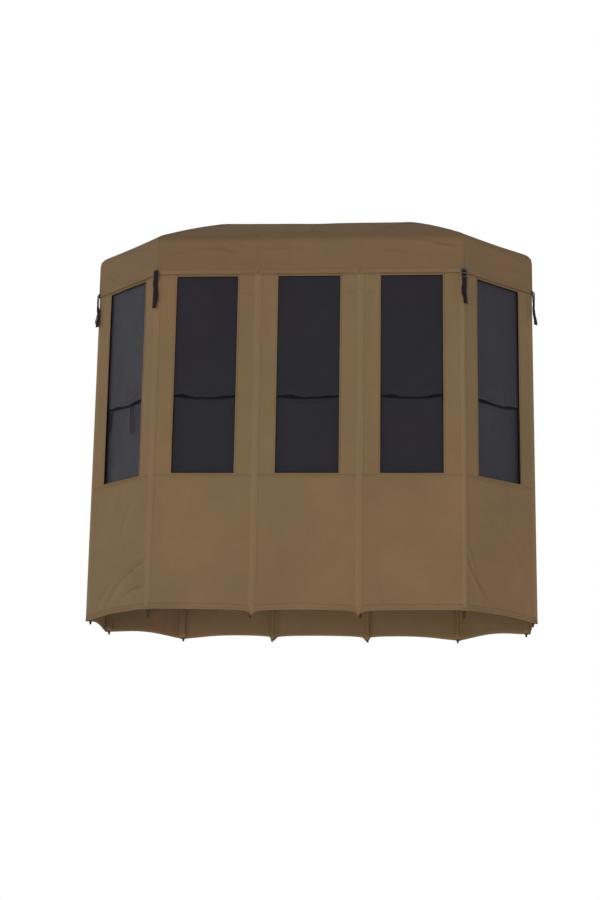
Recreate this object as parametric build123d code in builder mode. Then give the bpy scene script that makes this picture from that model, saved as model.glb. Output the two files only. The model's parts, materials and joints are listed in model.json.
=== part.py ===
from build123d import *

import os
from math import atan2, cos, degrees, hypot, radians, sin, tan

# A fabric field blind on a folding pole frame. In plan it is two regular octagons run together: twelve
# wall panels of one width, a pole at each joint between panels, and two roof hubs on a telescoping ridge.
# Millimetres. The origin is on the ground at the middle of the plan: +X along the ridge, -Y the front, +Z up.

# Driving sizes of the tent
SEGMENT = 550.0  # width of each of the twelve wall panels
CORNER_DEG = 45.0  # turn of the wall at each corner
HEM_Z = 37.0  # lower edge of the walls above the ground
WALL_TOP_Z = 2062.0
CAP_HEM_Z = 1850.0  # lower edge of the roof cap's valance
ROOF_EDGE_Z = 2071.0  # where the roof meets the valance
RIDGE_RISE = 318.0
CLOTH = 2.0  # thickness of the wall and roof cloth
PANEL_GAP = 1.5  # from a panel's edge to the corner line
LAYER_GAP = 2.0  # between one layer of cloth and the next
SEAM_GAP = 0.4  # between two panels of the roof cap

# Windows, their shades and the door
WINDOW_WIDTH = 332.0
WINDOW_SILL_Z = 757.0
WINDOW_HEAD_Z = 1840.0
SHADE_CLOTH = 1.5
SHADE_LAP = 10.0  # how far a shade runs past its window
SHADE_SPLIT_Z = 1184.0  # middle of the overlap between upper and lower shade
SHADE_OVERLAP = 20.0
DOOR_OPENING = (420.0, 1600.0)
DOOR_SILL_Z = 200.0
DOOR_LAP = 25.0
SLIDER = (11.0, 7.0, 26.0)  # zip slider: width, depth, height
SLIDER_TAB = (7.0, 2.0, 40.0)
SLIDER_ROUND = (3.6, 2.3)  # corner radius of the slider and of its tab
SLIDER_DROP = 12.0  # from the top of the door to the top of the slider

# Poles and their fittings
LEG_INSET = 24.0  # from the corner of the cloth to the leg's axis
LEG_RADIUS = 6.5
RIB_RADIUS = 5.5
PIN_RADIUS = 2.5
PIN_CLEARANCE = 0.1  # between a pin and the eye that turns on it
GLUE_GAP = 0.05  # between a rod and the fitting that it is glued into
RIB_UNDER_CLOTH = 34.0  # from the roof cloth straight down to a rib's axis
HUB_PIVOT_RADIUS = 45.0
KNUCKLE_REACH = 25.0  # from the leg's axis in to the rib's pivot

# Rib end fittings
EYE_RADIUS = 7.5
TONGUE = 7.0  # thickness
TONGUE_REACH = 26.0  # from the pivot to the socket
TONGUE_LENGTH = 29.0  # from the pivot to the end of the tongue inside the socket
SOCKET_LENGTH = 34.0
SOCKET_RADIUS = 8.0
ROD_START = 30.0  # from the pivot to the end of the rod

# Leg knuckle and foot
FORK_GAP = 8.0
FORK_WIDTH = 22.0
FORK_HEIGHT = 22.0
FORK_NOSE = 8.0  # fork beyond the pivot
KNUCKLE_BLOCK = (24.0, 52.0)  # depth along the rib, height
KNUCKLE_SOCKET = 34.0  # depth of the socket for the leg
EDGE_ROUND = 2.0  # moulded corners of knuckles and buckles
FOOT_HEIGHT = 62.0
FOOT_RADIUS = 10.5
FOOT_TIP_RADIUS = 5.0
FOOT_TAPER = 40.0
FOOT_SOCKET = 18.0  # height of the leg's end above the ground

# Hubs and ridge
HUB_RADIUS = 58.0
HUB_HEIGHT = 30.0
HUB_CROWN = 4.0
HUB_SLOT_END = 34.0  # inner end of a rib slot
RIDGE_OUTER = (11.0, 9.2)  # outer and inner radius of the ridge's first stage
RIDGE_MIDDLE = (8.9, 7.2)
RIDGE_INNER = 6.9
RIDGE_SOCKET = 12.0  # inner end of the ridge's socket in a hub, from the hub's axis
RIDGE_STAGE = 420.0
RIDGE_MIDDLE_LENGTH = 360.0

# Webbing at the corners of the cap
WEBBING = (25.0, 2.0, 205.0)  # width, thickness, length
WEBBING_TOP_Z = 1869.0
TRIM_GAP = 1.0
BUCKLE = (37.0, 5.0, 44.0)
BUCKLE_SLOT = (28.0, 7.0)
BUCKLE_BAR = 15.0  # pitch of the buckle's slots
BUCKLE_DROP = 26.0  # from the top of the webbing to the middle of the buckle

# Worked out from the sizes above
CLOTH_RADIUS = SEGMENT / 2 / sin(radians(CORNER_DEG / 2))
CLOTH_APOTHEM = CLOTH_RADIUS * cos(radians(CORNER_DEG / 2))
HUB_X = SEGMENT
LEG_RING = CLOTH_RADIUS - LEG_INSET
KNUCKLE_RING = LEG_RING - KNUCKLE_REACH
ROOF_PITCH = degrees(atan2(RIDGE_RISE, CLOTH_RADIUS))
FACET_PITCH = degrees(atan2(RIDGE_RISE, CLOTH_APOTHEM))
RIDGE_Z = ROOF_EDGE_Z + RIDGE_RISE
HUB_Z = RIDGE_Z - RIB_UNDER_CLOTH - HUB_PIVOT_RADIUS * tan(radians(ROOF_PITCH))
RIB_REACH = KNUCKLE_RING - HUB_PIVOT_RADIUS
KNUCKLE_Z = HUB_Z - RIB_REACH * tan(radians(ROOF_PITCH))
RIB_LENGTH = hypot(RIB_REACH, HUB_Z - KNUCKLE_Z)
CAP_INSIDE = CLOTH_APOTHEM + CLOTH / 2 + LAYER_GAP
SHADE_WIDTH = WINDOW_WIDTH + 2 * SHADE_LAP

# Each leg stands on a spoke of one hub: the hub's side and the spoke's direction from +X
LEGS = {
    "front_left_corner": (-1, -112.5),
    "front_left_inner": (-1, -67.5),
    "front_right_inner": (1, -112.5),
    "front_right_corner": (1, -67.5),
    "side_right_front": (1, -22.5),
    "side_right_rear": (1, 22.5),
    "rear_right_corner": (1, 67.5),
    "rear_right_inner": (1, 112.5),
    "rear_left_inner": (-1, 67.5),
    "rear_left_corner": (-1, 112.5),
    "side_left_rear": (-1, 157.5),
    "side_left_front": (-1, -157.5),
}

# Each wall panel: a point on its hub's side, and the direction that it faces
WALLS = {
    "front_left": (-HUB_X, -90.0),
    "front_middle": (0.0, -90.0),
    "front_right": (HUB_X, -90.0),
    "right_front_angle": (HUB_X, -45.0),
    "right_side": (HUB_X, 0.0),
    "right_rear_angle": (HUB_X, 45.0),
    "rear_right": (HUB_X, 90.0),
    "rear_middle": (0.0, 90.0),
    "rear_left": (-HUB_X, 90.0),
    "left_rear_angle": (-HUB_X, 135.0),
    "left_side": (-HUB_X, 180.0),
    "left_front_angle": (-HUB_X, -135.0),
}
WINDOWS = (
    "front_left",
    "front_middle",
    "front_right",
    "right_front_angle",
    "right_side",
    "left_side",
    "left_front_angle",
)
DOOR_WALL = "rear_middle"
CORNERS = [name for name in LEGS if "inner" not in name]


def write(piece, name):
    """Labels a finished sub-part and writes its STEP file."""
    piece.part.label = name
    export_step(piece.part, f"parts/{name}.step")


def spoke(side, azimuth):
    """The upright plane of one hub spoke: x runs out from the hub's axis, y runs up."""
    out = radians(azimuth)
    return Plane(
        origin=(side * HUB_X, 0, 0),
        x_dir=(cos(out), sin(out), 0),
        z_dir=(sin(out), -cos(out), 0),
    )


def panel(x, azimuth, inset=0.0):
    """The upright plane of one wall panel: x runs along the wall, y runs up, z faces out."""
    out = radians(azimuth)
    reach = CLOTH_APOTHEM - inset
    return Plane(
        origin=(x + reach * cos(out), reach * sin(out), 0),
        x_dir=(-sin(out), cos(out), 0),
        z_dir=(cos(out), sin(out), 0),
    )


def footprint(apothem):
    """The plan's outline, drawn about the two hubs at the given distance from them to each wall."""
    corner = apothem / cos(radians(CORNER_DEG / 2))
    return [
        (side * HUB_X + corner * cos(radians(azimuth)), corner * sin(radians(azimuth)))
        for side, azimuth in (LEGS[name] for name in CORNERS)
    ]


def tent_shape(apothem, ridge_z, base_z):
    """The solid inside the roof and the valance: the plan carried up and cut to the roof's facets."""
    with BuildPart() as tent:
        with BuildSketch(Plane.XY.offset(base_z)):
            with BuildLine():
                Polyline(*footprint(apothem), close=True)
            make_face()
        extrude(amount=ridge_z - base_z)
        for x, azimuth in WALLS.values():
            lean = radians(FACET_PITCH)
            out = radians(azimuth)
            normal = (sin(lean) * cos(out), sin(lean) * sin(out), cos(lean))
            split(bisect_by=Plane(origin=(x, 0, ridge_z), z_dir=normal), keep=Keep.BOTTOM)
    return tent


def make_rib(name, side, azimuth):
    """A sloping roof rod with an eye fitting at the hub and another at the leg."""
    upright = spoke(side, azimuth)
    slope = radians(ROOF_PITCH)
    along = upright.x_dir * cos(slope) - upright.y_dir * sin(slope)
    inner = upright.from_local_coords((HUB_PIVOT_RADIUS, HUB_Z, 0))
    outer = upright.from_local_coords((KNUCKLE_RING, KNUCKLE_Z, 0))
    with BuildPart() as rib:
        for eye, sign in ((inner, 1), (outer, -1)):
            with BuildSketch(Plane(origin=eye, x_dir=along, z_dir=upright.z_dir)):
                Circle(EYE_RADIUS)
                with Locations((sign * TONGUE_LENGTH / 2, 0)):
                    Rectangle(TONGUE_LENGTH, 2 * EYE_RADIUS)
                Circle(PIN_RADIUS + PIN_CLEARANCE, mode=Mode.SUBTRACT)
            extrude(amount=TONGUE / 2, both=True)
            with BuildSketch(Plane(origin=eye + along * sign * TONGUE_REACH, z_dir=along * sign)):
                Circle(SOCKET_RADIUS)
            extrude(amount=SOCKET_LENGTH)
            with BuildSketch(Plane(origin=eye + along * sign * ROD_START, z_dir=along * sign)):
                Circle(RIB_RADIUS + GLUE_GAP)
            extrude(amount=SOCKET_LENGTH, mode=Mode.SUBTRACT)
        with BuildSketch(Plane(origin=inner + along * (ROD_START + GLUE_GAP), z_dir=along)):
            Circle(RIB_RADIUS)
        extrude(amount=RIB_LENGTH - 2 * (ROD_START + GLUE_GAP))
    write(rib, f"rib_{name}")


def make_leg(name, side, azimuth):
    """A standing rod with a forked knuckle and its pin on top, and a tapered rubber foot."""
    upright = spoke(side, azimuth)
    axis = upright.from_local_coords((LEG_RING, 0, 0))
    depth, height = KNUCKLE_BLOCK
    top = KNUCKLE_Z + FORK_HEIGHT / 2
    with BuildPart() as leg:
        with BuildSketch(upright):
            with Locations((LEG_RING, top - height / 2)):
                RectangleRounded(depth, height, EDGE_ROUND)
            with Locations((KNUCKLE_RING, KNUCKLE_Z)):
                Circle(FORK_HEIGHT / 2)
            with Locations(((LEG_RING + KNUCKLE_RING) / 2, KNUCKLE_Z)):
                Rectangle(KNUCKLE_REACH, FORK_HEIGHT)
        extrude(amount=FORK_WIDTH / 2, both=True)
        with BuildSketch(upright):
            with Locations((KNUCKLE_RING - FORK_NOSE, KNUCKLE_Z)):
                Rectangle(KNUCKLE_REACH + 2 * FORK_NOSE, 2 * FORK_HEIGHT)
        extrude(amount=FORK_GAP / 2, both=True, mode=Mode.SUBTRACT)
        with BuildSketch(upright):
            with Locations((KNUCKLE_RING, KNUCKLE_Z)):
                Circle(PIN_RADIUS + GLUE_GAP)
        extrude(amount=FORK_WIDTH, both=True, mode=Mode.SUBTRACT)
        with BuildSketch(Plane(origin=axis + upright.y_dir * (top - height))):
            Circle(LEG_RADIUS + GLUE_GAP)
        extrude(amount=KNUCKLE_SOCKET, mode=Mode.SUBTRACT)
        with BuildSketch(upright):
            with Locations((KNUCKLE_RING, KNUCKLE_Z)):
                Circle(PIN_RADIUS)
        extrude(amount=FORK_WIDTH / 2, both=True)
        with BuildSketch(Plane(origin=axis)):
            Circle(FOOT_TIP_RADIUS)
        with BuildSketch(Plane(origin=axis + upright.y_dir * FOOT_TAPER)):
            Circle(FOOT_RADIUS)
        loft()
        with BuildSketch(Plane(origin=axis + upright.y_dir * FOOT_TAPER)):
            Circle(FOOT_RADIUS)
        extrude(amount=FOOT_HEIGHT - FOOT_TAPER)
        with BuildSketch(Plane(origin=axis + upright.y_dir * FOOT_SOCKET)):
            Circle(LEG_RADIUS + GLUE_GAP)
        extrude(amount=FOOT_HEIGHT, mode=Mode.SUBTRACT)
        with BuildSketch(Plane(origin=axis + upright.y_dir * (FOOT_SOCKET + GLUE_GAP))):
            Circle(LEG_RADIUS)
        extrude(amount=top - height + KNUCKLE_SOCKET - FOOT_SOCKET - 2 * GLUE_GAP)
    write(leg, f"leg_{name}")


def make_hub(name, side):
    """A slotted plastic disc with a pin across each rib slot and a socket for the ridge."""
    spokes = [azimuth for hub, azimuth in LEGS.values() if hub == side]
    with BuildPart() as hub:
        with BuildSketch(Plane(origin=(side * HUB_X, 0, HUB_Z - HUB_HEIGHT / 2))):
            Circle(HUB_RADIUS)
        extrude(amount=HUB_HEIGHT)
        fillet(hub.edges().filter_by(GeomType.CIRCLE).sort_by(Axis.Z)[-1], HUB_CROWN)
        for azimuth in spokes:
            upright = spoke(side, azimuth)
            with BuildSketch(upright):
                with Locations((HUB_SLOT_END + HUB_RADIUS / 2, HUB_Z)):
                    Rectangle(HUB_RADIUS, 2 * HUB_HEIGHT)
            extrude(amount=FORK_GAP / 2, both=True, mode=Mode.SUBTRACT)
            with BuildSketch(upright):
                with Locations((HUB_PIVOT_RADIUS, HUB_Z)):
                    Circle(PIN_RADIUS + GLUE_GAP)
            extrude(amount=FORK_WIDTH / 2 + GLUE_GAP, both=True, mode=Mode.SUBTRACT)
        with BuildSketch(Plane(origin=(side * (HUB_X - RIDGE_SOCKET), 0, HUB_Z), z_dir=(-side, 0, 0))):
            Circle((RIDGE_OUTER[0] if side < 0 else RIDGE_INNER) + GLUE_GAP)
        extrude(amount=HUB_RADIUS, mode=Mode.SUBTRACT)
        for azimuth in spokes:
            with BuildSketch(spoke(side, azimuth)):
                with Locations((HUB_PIVOT_RADIUS, HUB_Z)):
                    Circle(PIN_RADIUS)
            extrude(amount=FORK_WIDTH / 2, both=True)
    write(hub, f"hub_{name}")


def make_ridge():
    """The three stages of the ridge: a tube from the left hub, a tube that nests in it, and a rod."""
    start = -HUB_X + RIDGE_SOCKET + GLUE_GAP
    with BuildPart() as outer:
        with BuildSketch(Plane(origin=(start, 0, HUB_Z), z_dir=(1, 0, 0))):
            Circle(RIDGE_OUTER[0])
            Circle(RIDGE_OUTER[1], mode=Mode.SUBTRACT)
        extrude(amount=RIDGE_STAGE)
    write(outer, "ridge_outer_tube")
    with BuildPart() as middle:
        with BuildSketch(Plane(origin=(-RIDGE_MIDDLE_LENGTH / 2, 0, HUB_Z), z_dir=(1, 0, 0))):
            Circle(RIDGE_MIDDLE[0])
            Circle(RIDGE_MIDDLE[1], mode=Mode.SUBTRACT)
        extrude(amount=RIDGE_MIDDLE_LENGTH)
    write(middle, "ridge_middle_tube")
    with BuildPart() as inner:
        with BuildSketch(Plane(origin=(-start, 0, HUB_Z), z_dir=(-1, 0, 0))):
            Circle(RIDGE_INNER)
        extrude(amount=RIDGE_STAGE)
    write(inner, "ridge_inner_rod")


def make_wall(name, x, azimuth):
    """One flat wall panel, open at its window or at the door."""
    with BuildPart() as wall:
        with BuildSketch(panel(x, azimuth)):
            with Locations((0, (HEM_Z + WALL_TOP_Z) / 2)):
                Rectangle(SEGMENT - 2 * PANEL_GAP, WALL_TOP_Z - HEM_Z)
            if name in WINDOWS:
                with Locations((0, (WINDOW_SILL_Z + WINDOW_HEAD_Z) / 2)):
                    Rectangle(WINDOW_WIDTH, WINDOW_HEAD_Z - WINDOW_SILL_Z, mode=Mode.SUBTRACT)
            if name == DOOR_WALL:
                with Locations((0, DOOR_SILL_Z + DOOR_OPENING[1] / 2)):
                    Rectangle(*DOOR_OPENING, mode=Mode.SUBTRACT)
        extrude(amount=CLOTH / 2, both=True)
    write(wall, f"wall_{name}")


def make_shade(name, half, x, azimuth, low, high, inset):
    """One sliding shade of a window, flat against the inside of its wall."""
    with BuildPart() as shade:
        with BuildSketch(panel(x, azimuth, inset)):
            with Locations((0, (low + high) / 2)):
                Rectangle(SHADE_WIDTH, high - low)
        extrude(amount=SHADE_CLOTH / 2, both=True)
    write(shade, f"shade_{name}_{half}")


def make_shades():
    upper_inset = CLOTH / 2 + LAYER_GAP + SHADE_CLOTH / 2
    lower_inset = upper_inset + SHADE_CLOTH + LAYER_GAP
    split_low = SHADE_SPLIT_Z - SHADE_OVERLAP / 2
    split_high = SHADE_SPLIT_Z + SHADE_OVERLAP / 2
    for name in WINDOWS:
        x, azimuth = WALLS[name]
        make_shade(name, "upper", x, azimuth, split_low, WINDOW_HEAD_Z + SHADE_LAP, upper_inset)
        make_shade(name, "lower", x, azimuth, WINDOW_SILL_Z - SHADE_LAP, split_high, lower_inset)


def make_door():
    """The door flap on the outside of its wall, and the zip slider at the top of its free edge."""
    x, azimuth = WALLS[DOOR_WALL]
    outset = CLOTH + LAYER_GAP
    width = DOOR_OPENING[0] + 2 * DOOR_LAP
    height = DOOR_OPENING[1] + 2 * DOOR_LAP
    with BuildPart() as door:
        with BuildSketch(panel(x, azimuth, -outset)):
            with Locations((0, DOOR_SILL_Z + DOOR_OPENING[1] / 2)):
                Rectangle(width, height)
        extrude(amount=CLOTH / 2, both=True)
    write(door, "door_flap")
    top = DOOR_SILL_Z + DOOR_OPENING[1] + DOOR_LAP - SLIDER_DROP
    edge = width / 2 + TRIM_GAP + SLIDER[0] / 2
    with BuildPart() as slider:
        with BuildSketch(panel(x, azimuth, -CLOTH / 2 - TRIM_GAP)):
            with Locations((edge, top - SLIDER[2] / 2)):
                RectangleRounded(SLIDER[0], SLIDER[2], SLIDER_ROUND[0])
        extrude(amount=SLIDER[1])
        with BuildSketch(panel(x, azimuth, -CLOTH / 2 - TRIM_GAP - SLIDER[1])):
            with Locations((edge, top - SLIDER[2] / 2 - SLIDER_TAB[2] / 2)):
                RectangleRounded(SLIDER_TAB[0], SLIDER_TAB[2], SLIDER_ROUND[1])
        extrude(amount=-SLIDER_TAB[1])
    write(slider, "door_zip_slider")


def make_cap():
    """The roof cloth and the valance under its edge: eight roof panels and eight valance panels, sewn."""
    ceiling = RIDGE_Z - CLOTH / cos(radians(FACET_PITCH))
    eave = ceiling - CAP_INSIDE * tan(radians(FACET_PITCH))
    reach = 2 * CLOTH_RADIUS
    inside = tent_shape(CAP_INSIDE, ceiling, CAP_HEM_Z - CLOTH)
    outside = tent_shape(CAP_INSIDE + CLOTH, RIDGE_Z, CAP_HEM_Z)
    with BuildPart() as cap:
        add(outside.part)
        add(inside.part, mode=Mode.SUBTRACT)
        for side, azimuth in (LEGS[name] for name in CORNERS):
            with BuildSketch(spoke(side, azimuth)):
                with Locations((reach / 2, RIDGE_Z)):
                    Rectangle(reach, RIDGE_Z)
            extrude(amount=SEAM_GAP / 2, both=True, mode=Mode.SUBTRACT)
        with BuildSketch(Plane.XZ):
            with Locations((0, RIDGE_Z)):
                Rectangle(2 * HUB_X, RIDGE_Z)
        extrude(amount=SEAM_GAP / 2, both=True, mode=Mode.SUBTRACT)
        with BuildSketch(Plane.XY.offset(eave)):
            Rectangle(2 * (HUB_X + reach), 2 * reach)
        extrude(amount=SEAM_GAP / 2, both=True, mode=Mode.SUBTRACT)
    write(cap, "roof_cap")


def make_corner_webbing():
    """A strap and its ladder lock outside the cap at each of the eight corners."""
    face = (CAP_INSIDE + CLOTH) / cos(radians(CORNER_DEG / 2)) + TRIM_GAP
    middle = WEBBING_TOP_Z - WEBBING[2] / 2
    with BuildPart() as straps:
        for side, azimuth in (LEGS[name] for name in CORNERS):
            with BuildSketch(spoke(side, azimuth)):
                with Locations((face + WEBBING[1] / 2, middle)):
                    Rectangle(WEBBING[1], WEBBING[2])
            extrude(amount=WEBBING[0] / 2, both=True)
    write(straps, "corner_straps")
    with BuildPart() as buckles:
        for side, azimuth in (LEGS[name] for name in CORNERS):
            upright = spoke(side, azimuth)
            origin = upright.from_local_coords(
                (face + WEBBING[1] + TRIM_GAP, WEBBING_TOP_Z - BUCKLE_DROP, 0)
            )
            with BuildSketch(Plane(origin=origin, x_dir=upright.z_dir, z_dir=upright.x_dir)):
                RectangleRounded(BUCKLE[0], BUCKLE[2], EDGE_ROUND)
                with GridLocations(0, BUCKLE_BAR, 1, 2):
                    Rectangle(*BUCKLE_SLOT, mode=Mode.SUBTRACT)
            extrude(amount=BUCKLE[1])
    write(buckles, "strap_buckles")


os.makedirs("parts", exist_ok=True)
for leg_name, place in LEGS.items():
    make_leg(leg_name, *place)
    make_rib(leg_name, *place)
make_hub("left", -1)
make_hub("right", 1)
make_ridge()
for wall_name, place in WALLS.items():
    make_wall(wall_name, *place)
make_shades()
make_door()
make_cap()
make_corner_webbing()
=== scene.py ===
import json
import random
from math import atan2, cos, exp, pi, radians, sin, tan, tanh

import bmesh
import bpy
from mathutils import Matrix, Vector, noise


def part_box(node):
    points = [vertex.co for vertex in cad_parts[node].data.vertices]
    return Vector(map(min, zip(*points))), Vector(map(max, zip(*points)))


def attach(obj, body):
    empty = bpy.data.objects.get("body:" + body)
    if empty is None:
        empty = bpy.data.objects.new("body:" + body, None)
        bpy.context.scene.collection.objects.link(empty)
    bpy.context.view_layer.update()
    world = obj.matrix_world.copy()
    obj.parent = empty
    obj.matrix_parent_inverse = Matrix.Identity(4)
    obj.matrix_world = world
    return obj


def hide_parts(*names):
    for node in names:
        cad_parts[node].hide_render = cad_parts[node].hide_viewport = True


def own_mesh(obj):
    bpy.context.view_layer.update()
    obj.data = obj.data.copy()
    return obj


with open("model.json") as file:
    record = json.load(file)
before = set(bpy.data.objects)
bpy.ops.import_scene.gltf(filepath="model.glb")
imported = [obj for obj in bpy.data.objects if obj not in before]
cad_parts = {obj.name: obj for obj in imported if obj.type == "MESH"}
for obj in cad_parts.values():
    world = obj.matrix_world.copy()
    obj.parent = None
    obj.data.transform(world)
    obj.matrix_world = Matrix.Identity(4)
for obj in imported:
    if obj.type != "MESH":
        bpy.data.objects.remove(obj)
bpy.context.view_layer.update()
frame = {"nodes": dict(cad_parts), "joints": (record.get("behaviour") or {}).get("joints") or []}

# ---------------------------------------------------------------- plan of the blind, read from the frame
CORNER = radians(45)
HALF = CORNER / 2
RIGHT_HUB = sum(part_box("hub_right"), Vector()) / 2
HUB_X = RIGHT_HUB.x
SEGMENT = HUB_X  # the width of every wall panel
WALL_APOTHEM = -(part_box("wall_front_middle")[0].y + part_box("wall_front_middle")[1].y) / 2
CAP_APOTHEM = -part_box("roof_cap")[0].y
HEM_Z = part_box("wall_front_middle")[0].z
WALL_TOP_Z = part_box("wall_front_middle")[1].z
CAP_HEM_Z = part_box("roof_cap")[0].z
RIDGE_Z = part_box("roof_cap")[1].z
LEG_TOP_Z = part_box("leg_front_left_corner")[1].z
SHADE_LAP = 0.010
SHADE_LOW, SHADE_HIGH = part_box("shade_front_middle_lower")
WINDOW_SILL = SHADE_LOW.z + SHADE_LAP
WINDOW_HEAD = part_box("shade_front_middle_upper")[1].z - SHADE_LAP
WINDOW_HALF = (SHADE_HIGH.x - SHADE_LOW.x) / 2 - SHADE_LAP
UPPER_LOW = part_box("shade_front_middle_upper")[0].z
LOWER_HIGH = SHADE_HIGH.z
DOOR_WALL = "rear_middle"
DOOR_LOW, DOOR_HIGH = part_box("door_flap")
DOOR_LAP = 0.025  # of the flap over the edge of its opening
DOOR_SILL, DOOR_HEAD = DOOR_LOW.z + DOOR_LAP, DOOR_HIGH.z - DOOR_LAP
DOOR_HALF = (DOOR_HIGH.x - DOOR_LOW.x) / 2 - DOOR_LAP
WALL_MIDDLE = SEGMENT / 2
JOINTS = {joint["name"]: joint for joint in frame["joints"]}
PIVOT = Vector(JOINTS["hub_left_turn"]["pos_m"])  # of a rib in its hub
KNUCKLE = Vector(JOINTS["fold"]["pos_m"])  # of the same rib on its leg

LEGS = {
    "front_left_corner": (-1, -112.5),
    "front_left_inner": (-1, -67.5),
    "front_right_inner": (1, -112.5),
    "front_right_corner": (1, -67.5),
    "side_right_front": (1, -22.5),
    "side_right_rear": (1, 22.5),
    "rear_right_corner": (1, 67.5),
    "rear_right_inner": (1, 112.5),
    "rear_left_inner": (-1, 67.5),
    "rear_left_corner": (-1, 112.5),
    "side_left_rear": (-1, 157.5),
    "side_left_front": (-1, -157.5),
}
WALLS = {
    "front_left": -90,
    "front_middle": -90,
    "front_right": -90,
    "right_front_angle": -45,
    "right_side": 0,
    "right_rear_angle": 45,
    "rear_right": 90,
    "rear_middle": 90,
    "rear_left": 90,
    "left_rear_angle": 135,
    "left_side": 180,
    "left_front_angle": -135,
}
LEG_NAMES = list(LEGS)
WALL_NAMES = list(WALLS)
WINDOWS = [n for n in WALL_NAMES if f"shade_{n}_upper" in frame["nodes"]]
MIDDLES = ("front_middle", "rear_middle")

# ---------------------------------------------------------------- looks of the fabric, in metres
CLOTH = 0.0009
ROOF_BULGE = 0.008  # the ribs bow the roof outward by this much
ROOF_EDGE_ROUND = 0.042  # the rounded eave starts this far below the sharp one
GORE_SAG = 0.010
RIDGE_SAG = 0.004
VALANCE_HEM = 0.022
HUB_PATCH = 0.036  # inside the ring of rib pivots, so that the ribs swing up clear of it
HEM_BAND = 0.028
HEM_RISE = 0.004  # the hem lifts between the legs
HEM_POINT = 0.026  # it is drawn down in a point over the feet of the inner legs
HEM_DIP = 0.019  # hangs low over the feet at the sides and the back
HEM_LIFT = -0.004  # and clears those at the front corners
WALL_SLACK = 0.0050  # the cloth lies this far inside the line between two poles
DEEPEST = 0.0085  # no fold of a wall reaches further in
SEAM_WIDTH = 0.016
POLE_BAND = 0.044  # the doubled cloth over a pole
SLEEVE_RADIUS = 0.0095
SLEEVE_HALF = 0.030  # half the width that the sleeve spans on the wall
SLEEVE_GAP = 0.0022  # from the outside of the wall in to the sleeve's sewn edge
FOOT_TOP = 0.0625  # of the rubber foot on a leg
FOOT_MORE = 0.0035  # the sleeve is this much wider round the foot
SLEEVE_TURN = radians(100)  # how far it goes round the pole on each side
POLE_INSET = 0.024  # from the corner of the walls in to a pole
TRIM_THICK = 0.0010
FACE = 0.0005  # the cloth's face stands this far out from the middle of the CAD wall
CORNER_GAP = 0.0006  # the wall cloth ends this far from the corner


def unit(azimuth):
    """The direction of an azimuth in plan, in degrees from +X."""
    return Vector((cos(radians(azimuth)), sin(radians(azimuth)), 0))


def leg_hub(name):
    """The middle of the hub that a leg belongs to, on the ground."""
    return Vector((LEGS[name][0] * HUB_X, 0, 0))


def corner(name, apothem):
    """The corner of the plan by one leg, where the walls stand the given distance from the hub."""
    return leg_hub(name) + unit(LEGS[name][1]) * (apothem / cos(HALF))


def wall_legs(wall):
    """The legs at the two ends of a wall: the one it rides on, and the next."""
    i = WALL_NAMES.index(wall)
    return LEG_NAMES[i], LEG_NAMES[(i + 1) % len(LEG_NAMES)]


def beside(leg):
    """The walls before and after a leg."""
    i = LEG_NAMES.index(leg)
    return WALL_NAMES[i - 1], WALL_NAMES[i]


def plan(wall, s, apothem):
    """A point of the plan along a wall: s is 0 at the wall's own leg and 1 at the next."""
    first, last = wall_legs(wall)
    return corner(first, apothem).lerp(corner(last, apothem), s)


def tangent(wall):
    """The direction along a wall, from its own leg to the next."""
    first, last = wall_legs(wall)
    return (corner(last, 1.0) - corner(first, 1.0)).normalized()


def outward(wall):
    """The direction that a wall faces."""
    return unit(WALLS[wall])


def wave(*where, size=1.0, seed=0.0):
    """Smooth noise from -1 to 1 at a place, over lumps of the given size."""
    point = Vector(where + (0,) * (3 - len(where))) / size
    return noise.noise(point + Vector((seed * 7.31, seed * 3.17, seed * 5.77)))


def bump(x, middle, width):
    """A smooth ridge of height 1 about a middle."""
    return exp(-(((x - middle) / width) ** 2))


def arch(x, power):
    """Rises from 0 at x = 0 to 1 in the middle and falls to 0 at x = 1."""
    return max(0.0, sin(pi * x)) ** power


def smooth(x):
    """Rises softly from 0 at x = 0 to 1 at x = 1."""
    x = min(1.0, max(0.0, x))
    return x * x * (3 - 2 * x)


def spread(low, high, count, extra=()):
    """Evenly spaced values from low to high, with each extra place taking over from any value close to it."""
    step = (high - low) / count
    values = [low + step * i for i in range(count + 1)]
    for place in extra:
        values = [v for v in values if abs(v - place) > step * 0.35 or v in (low, high)] + [place]
    return sorted(set(values))


# ---------------------------------------------------------------- mesh helpers
def add_object(name, mesh):
    obj = bpy.data.objects.new(name, mesh)
    bpy.context.scene.collection.objects.link(obj)
    return obj


def finish_mesh(name, made, material, rounded=True):
    """Turns worked-out geometry into an object with one material."""
    for face in made.faces:
        face.smooth = rounded
    mesh = bpy.data.meshes.new(name)
    made.to_mesh(mesh)
    made.free()
    mesh.materials.append(material)
    return add_object(name, mesh)


def thicken(obj, thick, offset=-1.0):
    """Gives a sheet its thickness: inward, or to both sides where the offset is 0."""
    solid = obj.modifiers.new("cloth", "SOLIDIFY")
    solid.thickness = thick
    solid.offset = offset
    solid.use_even_offset = False


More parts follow.
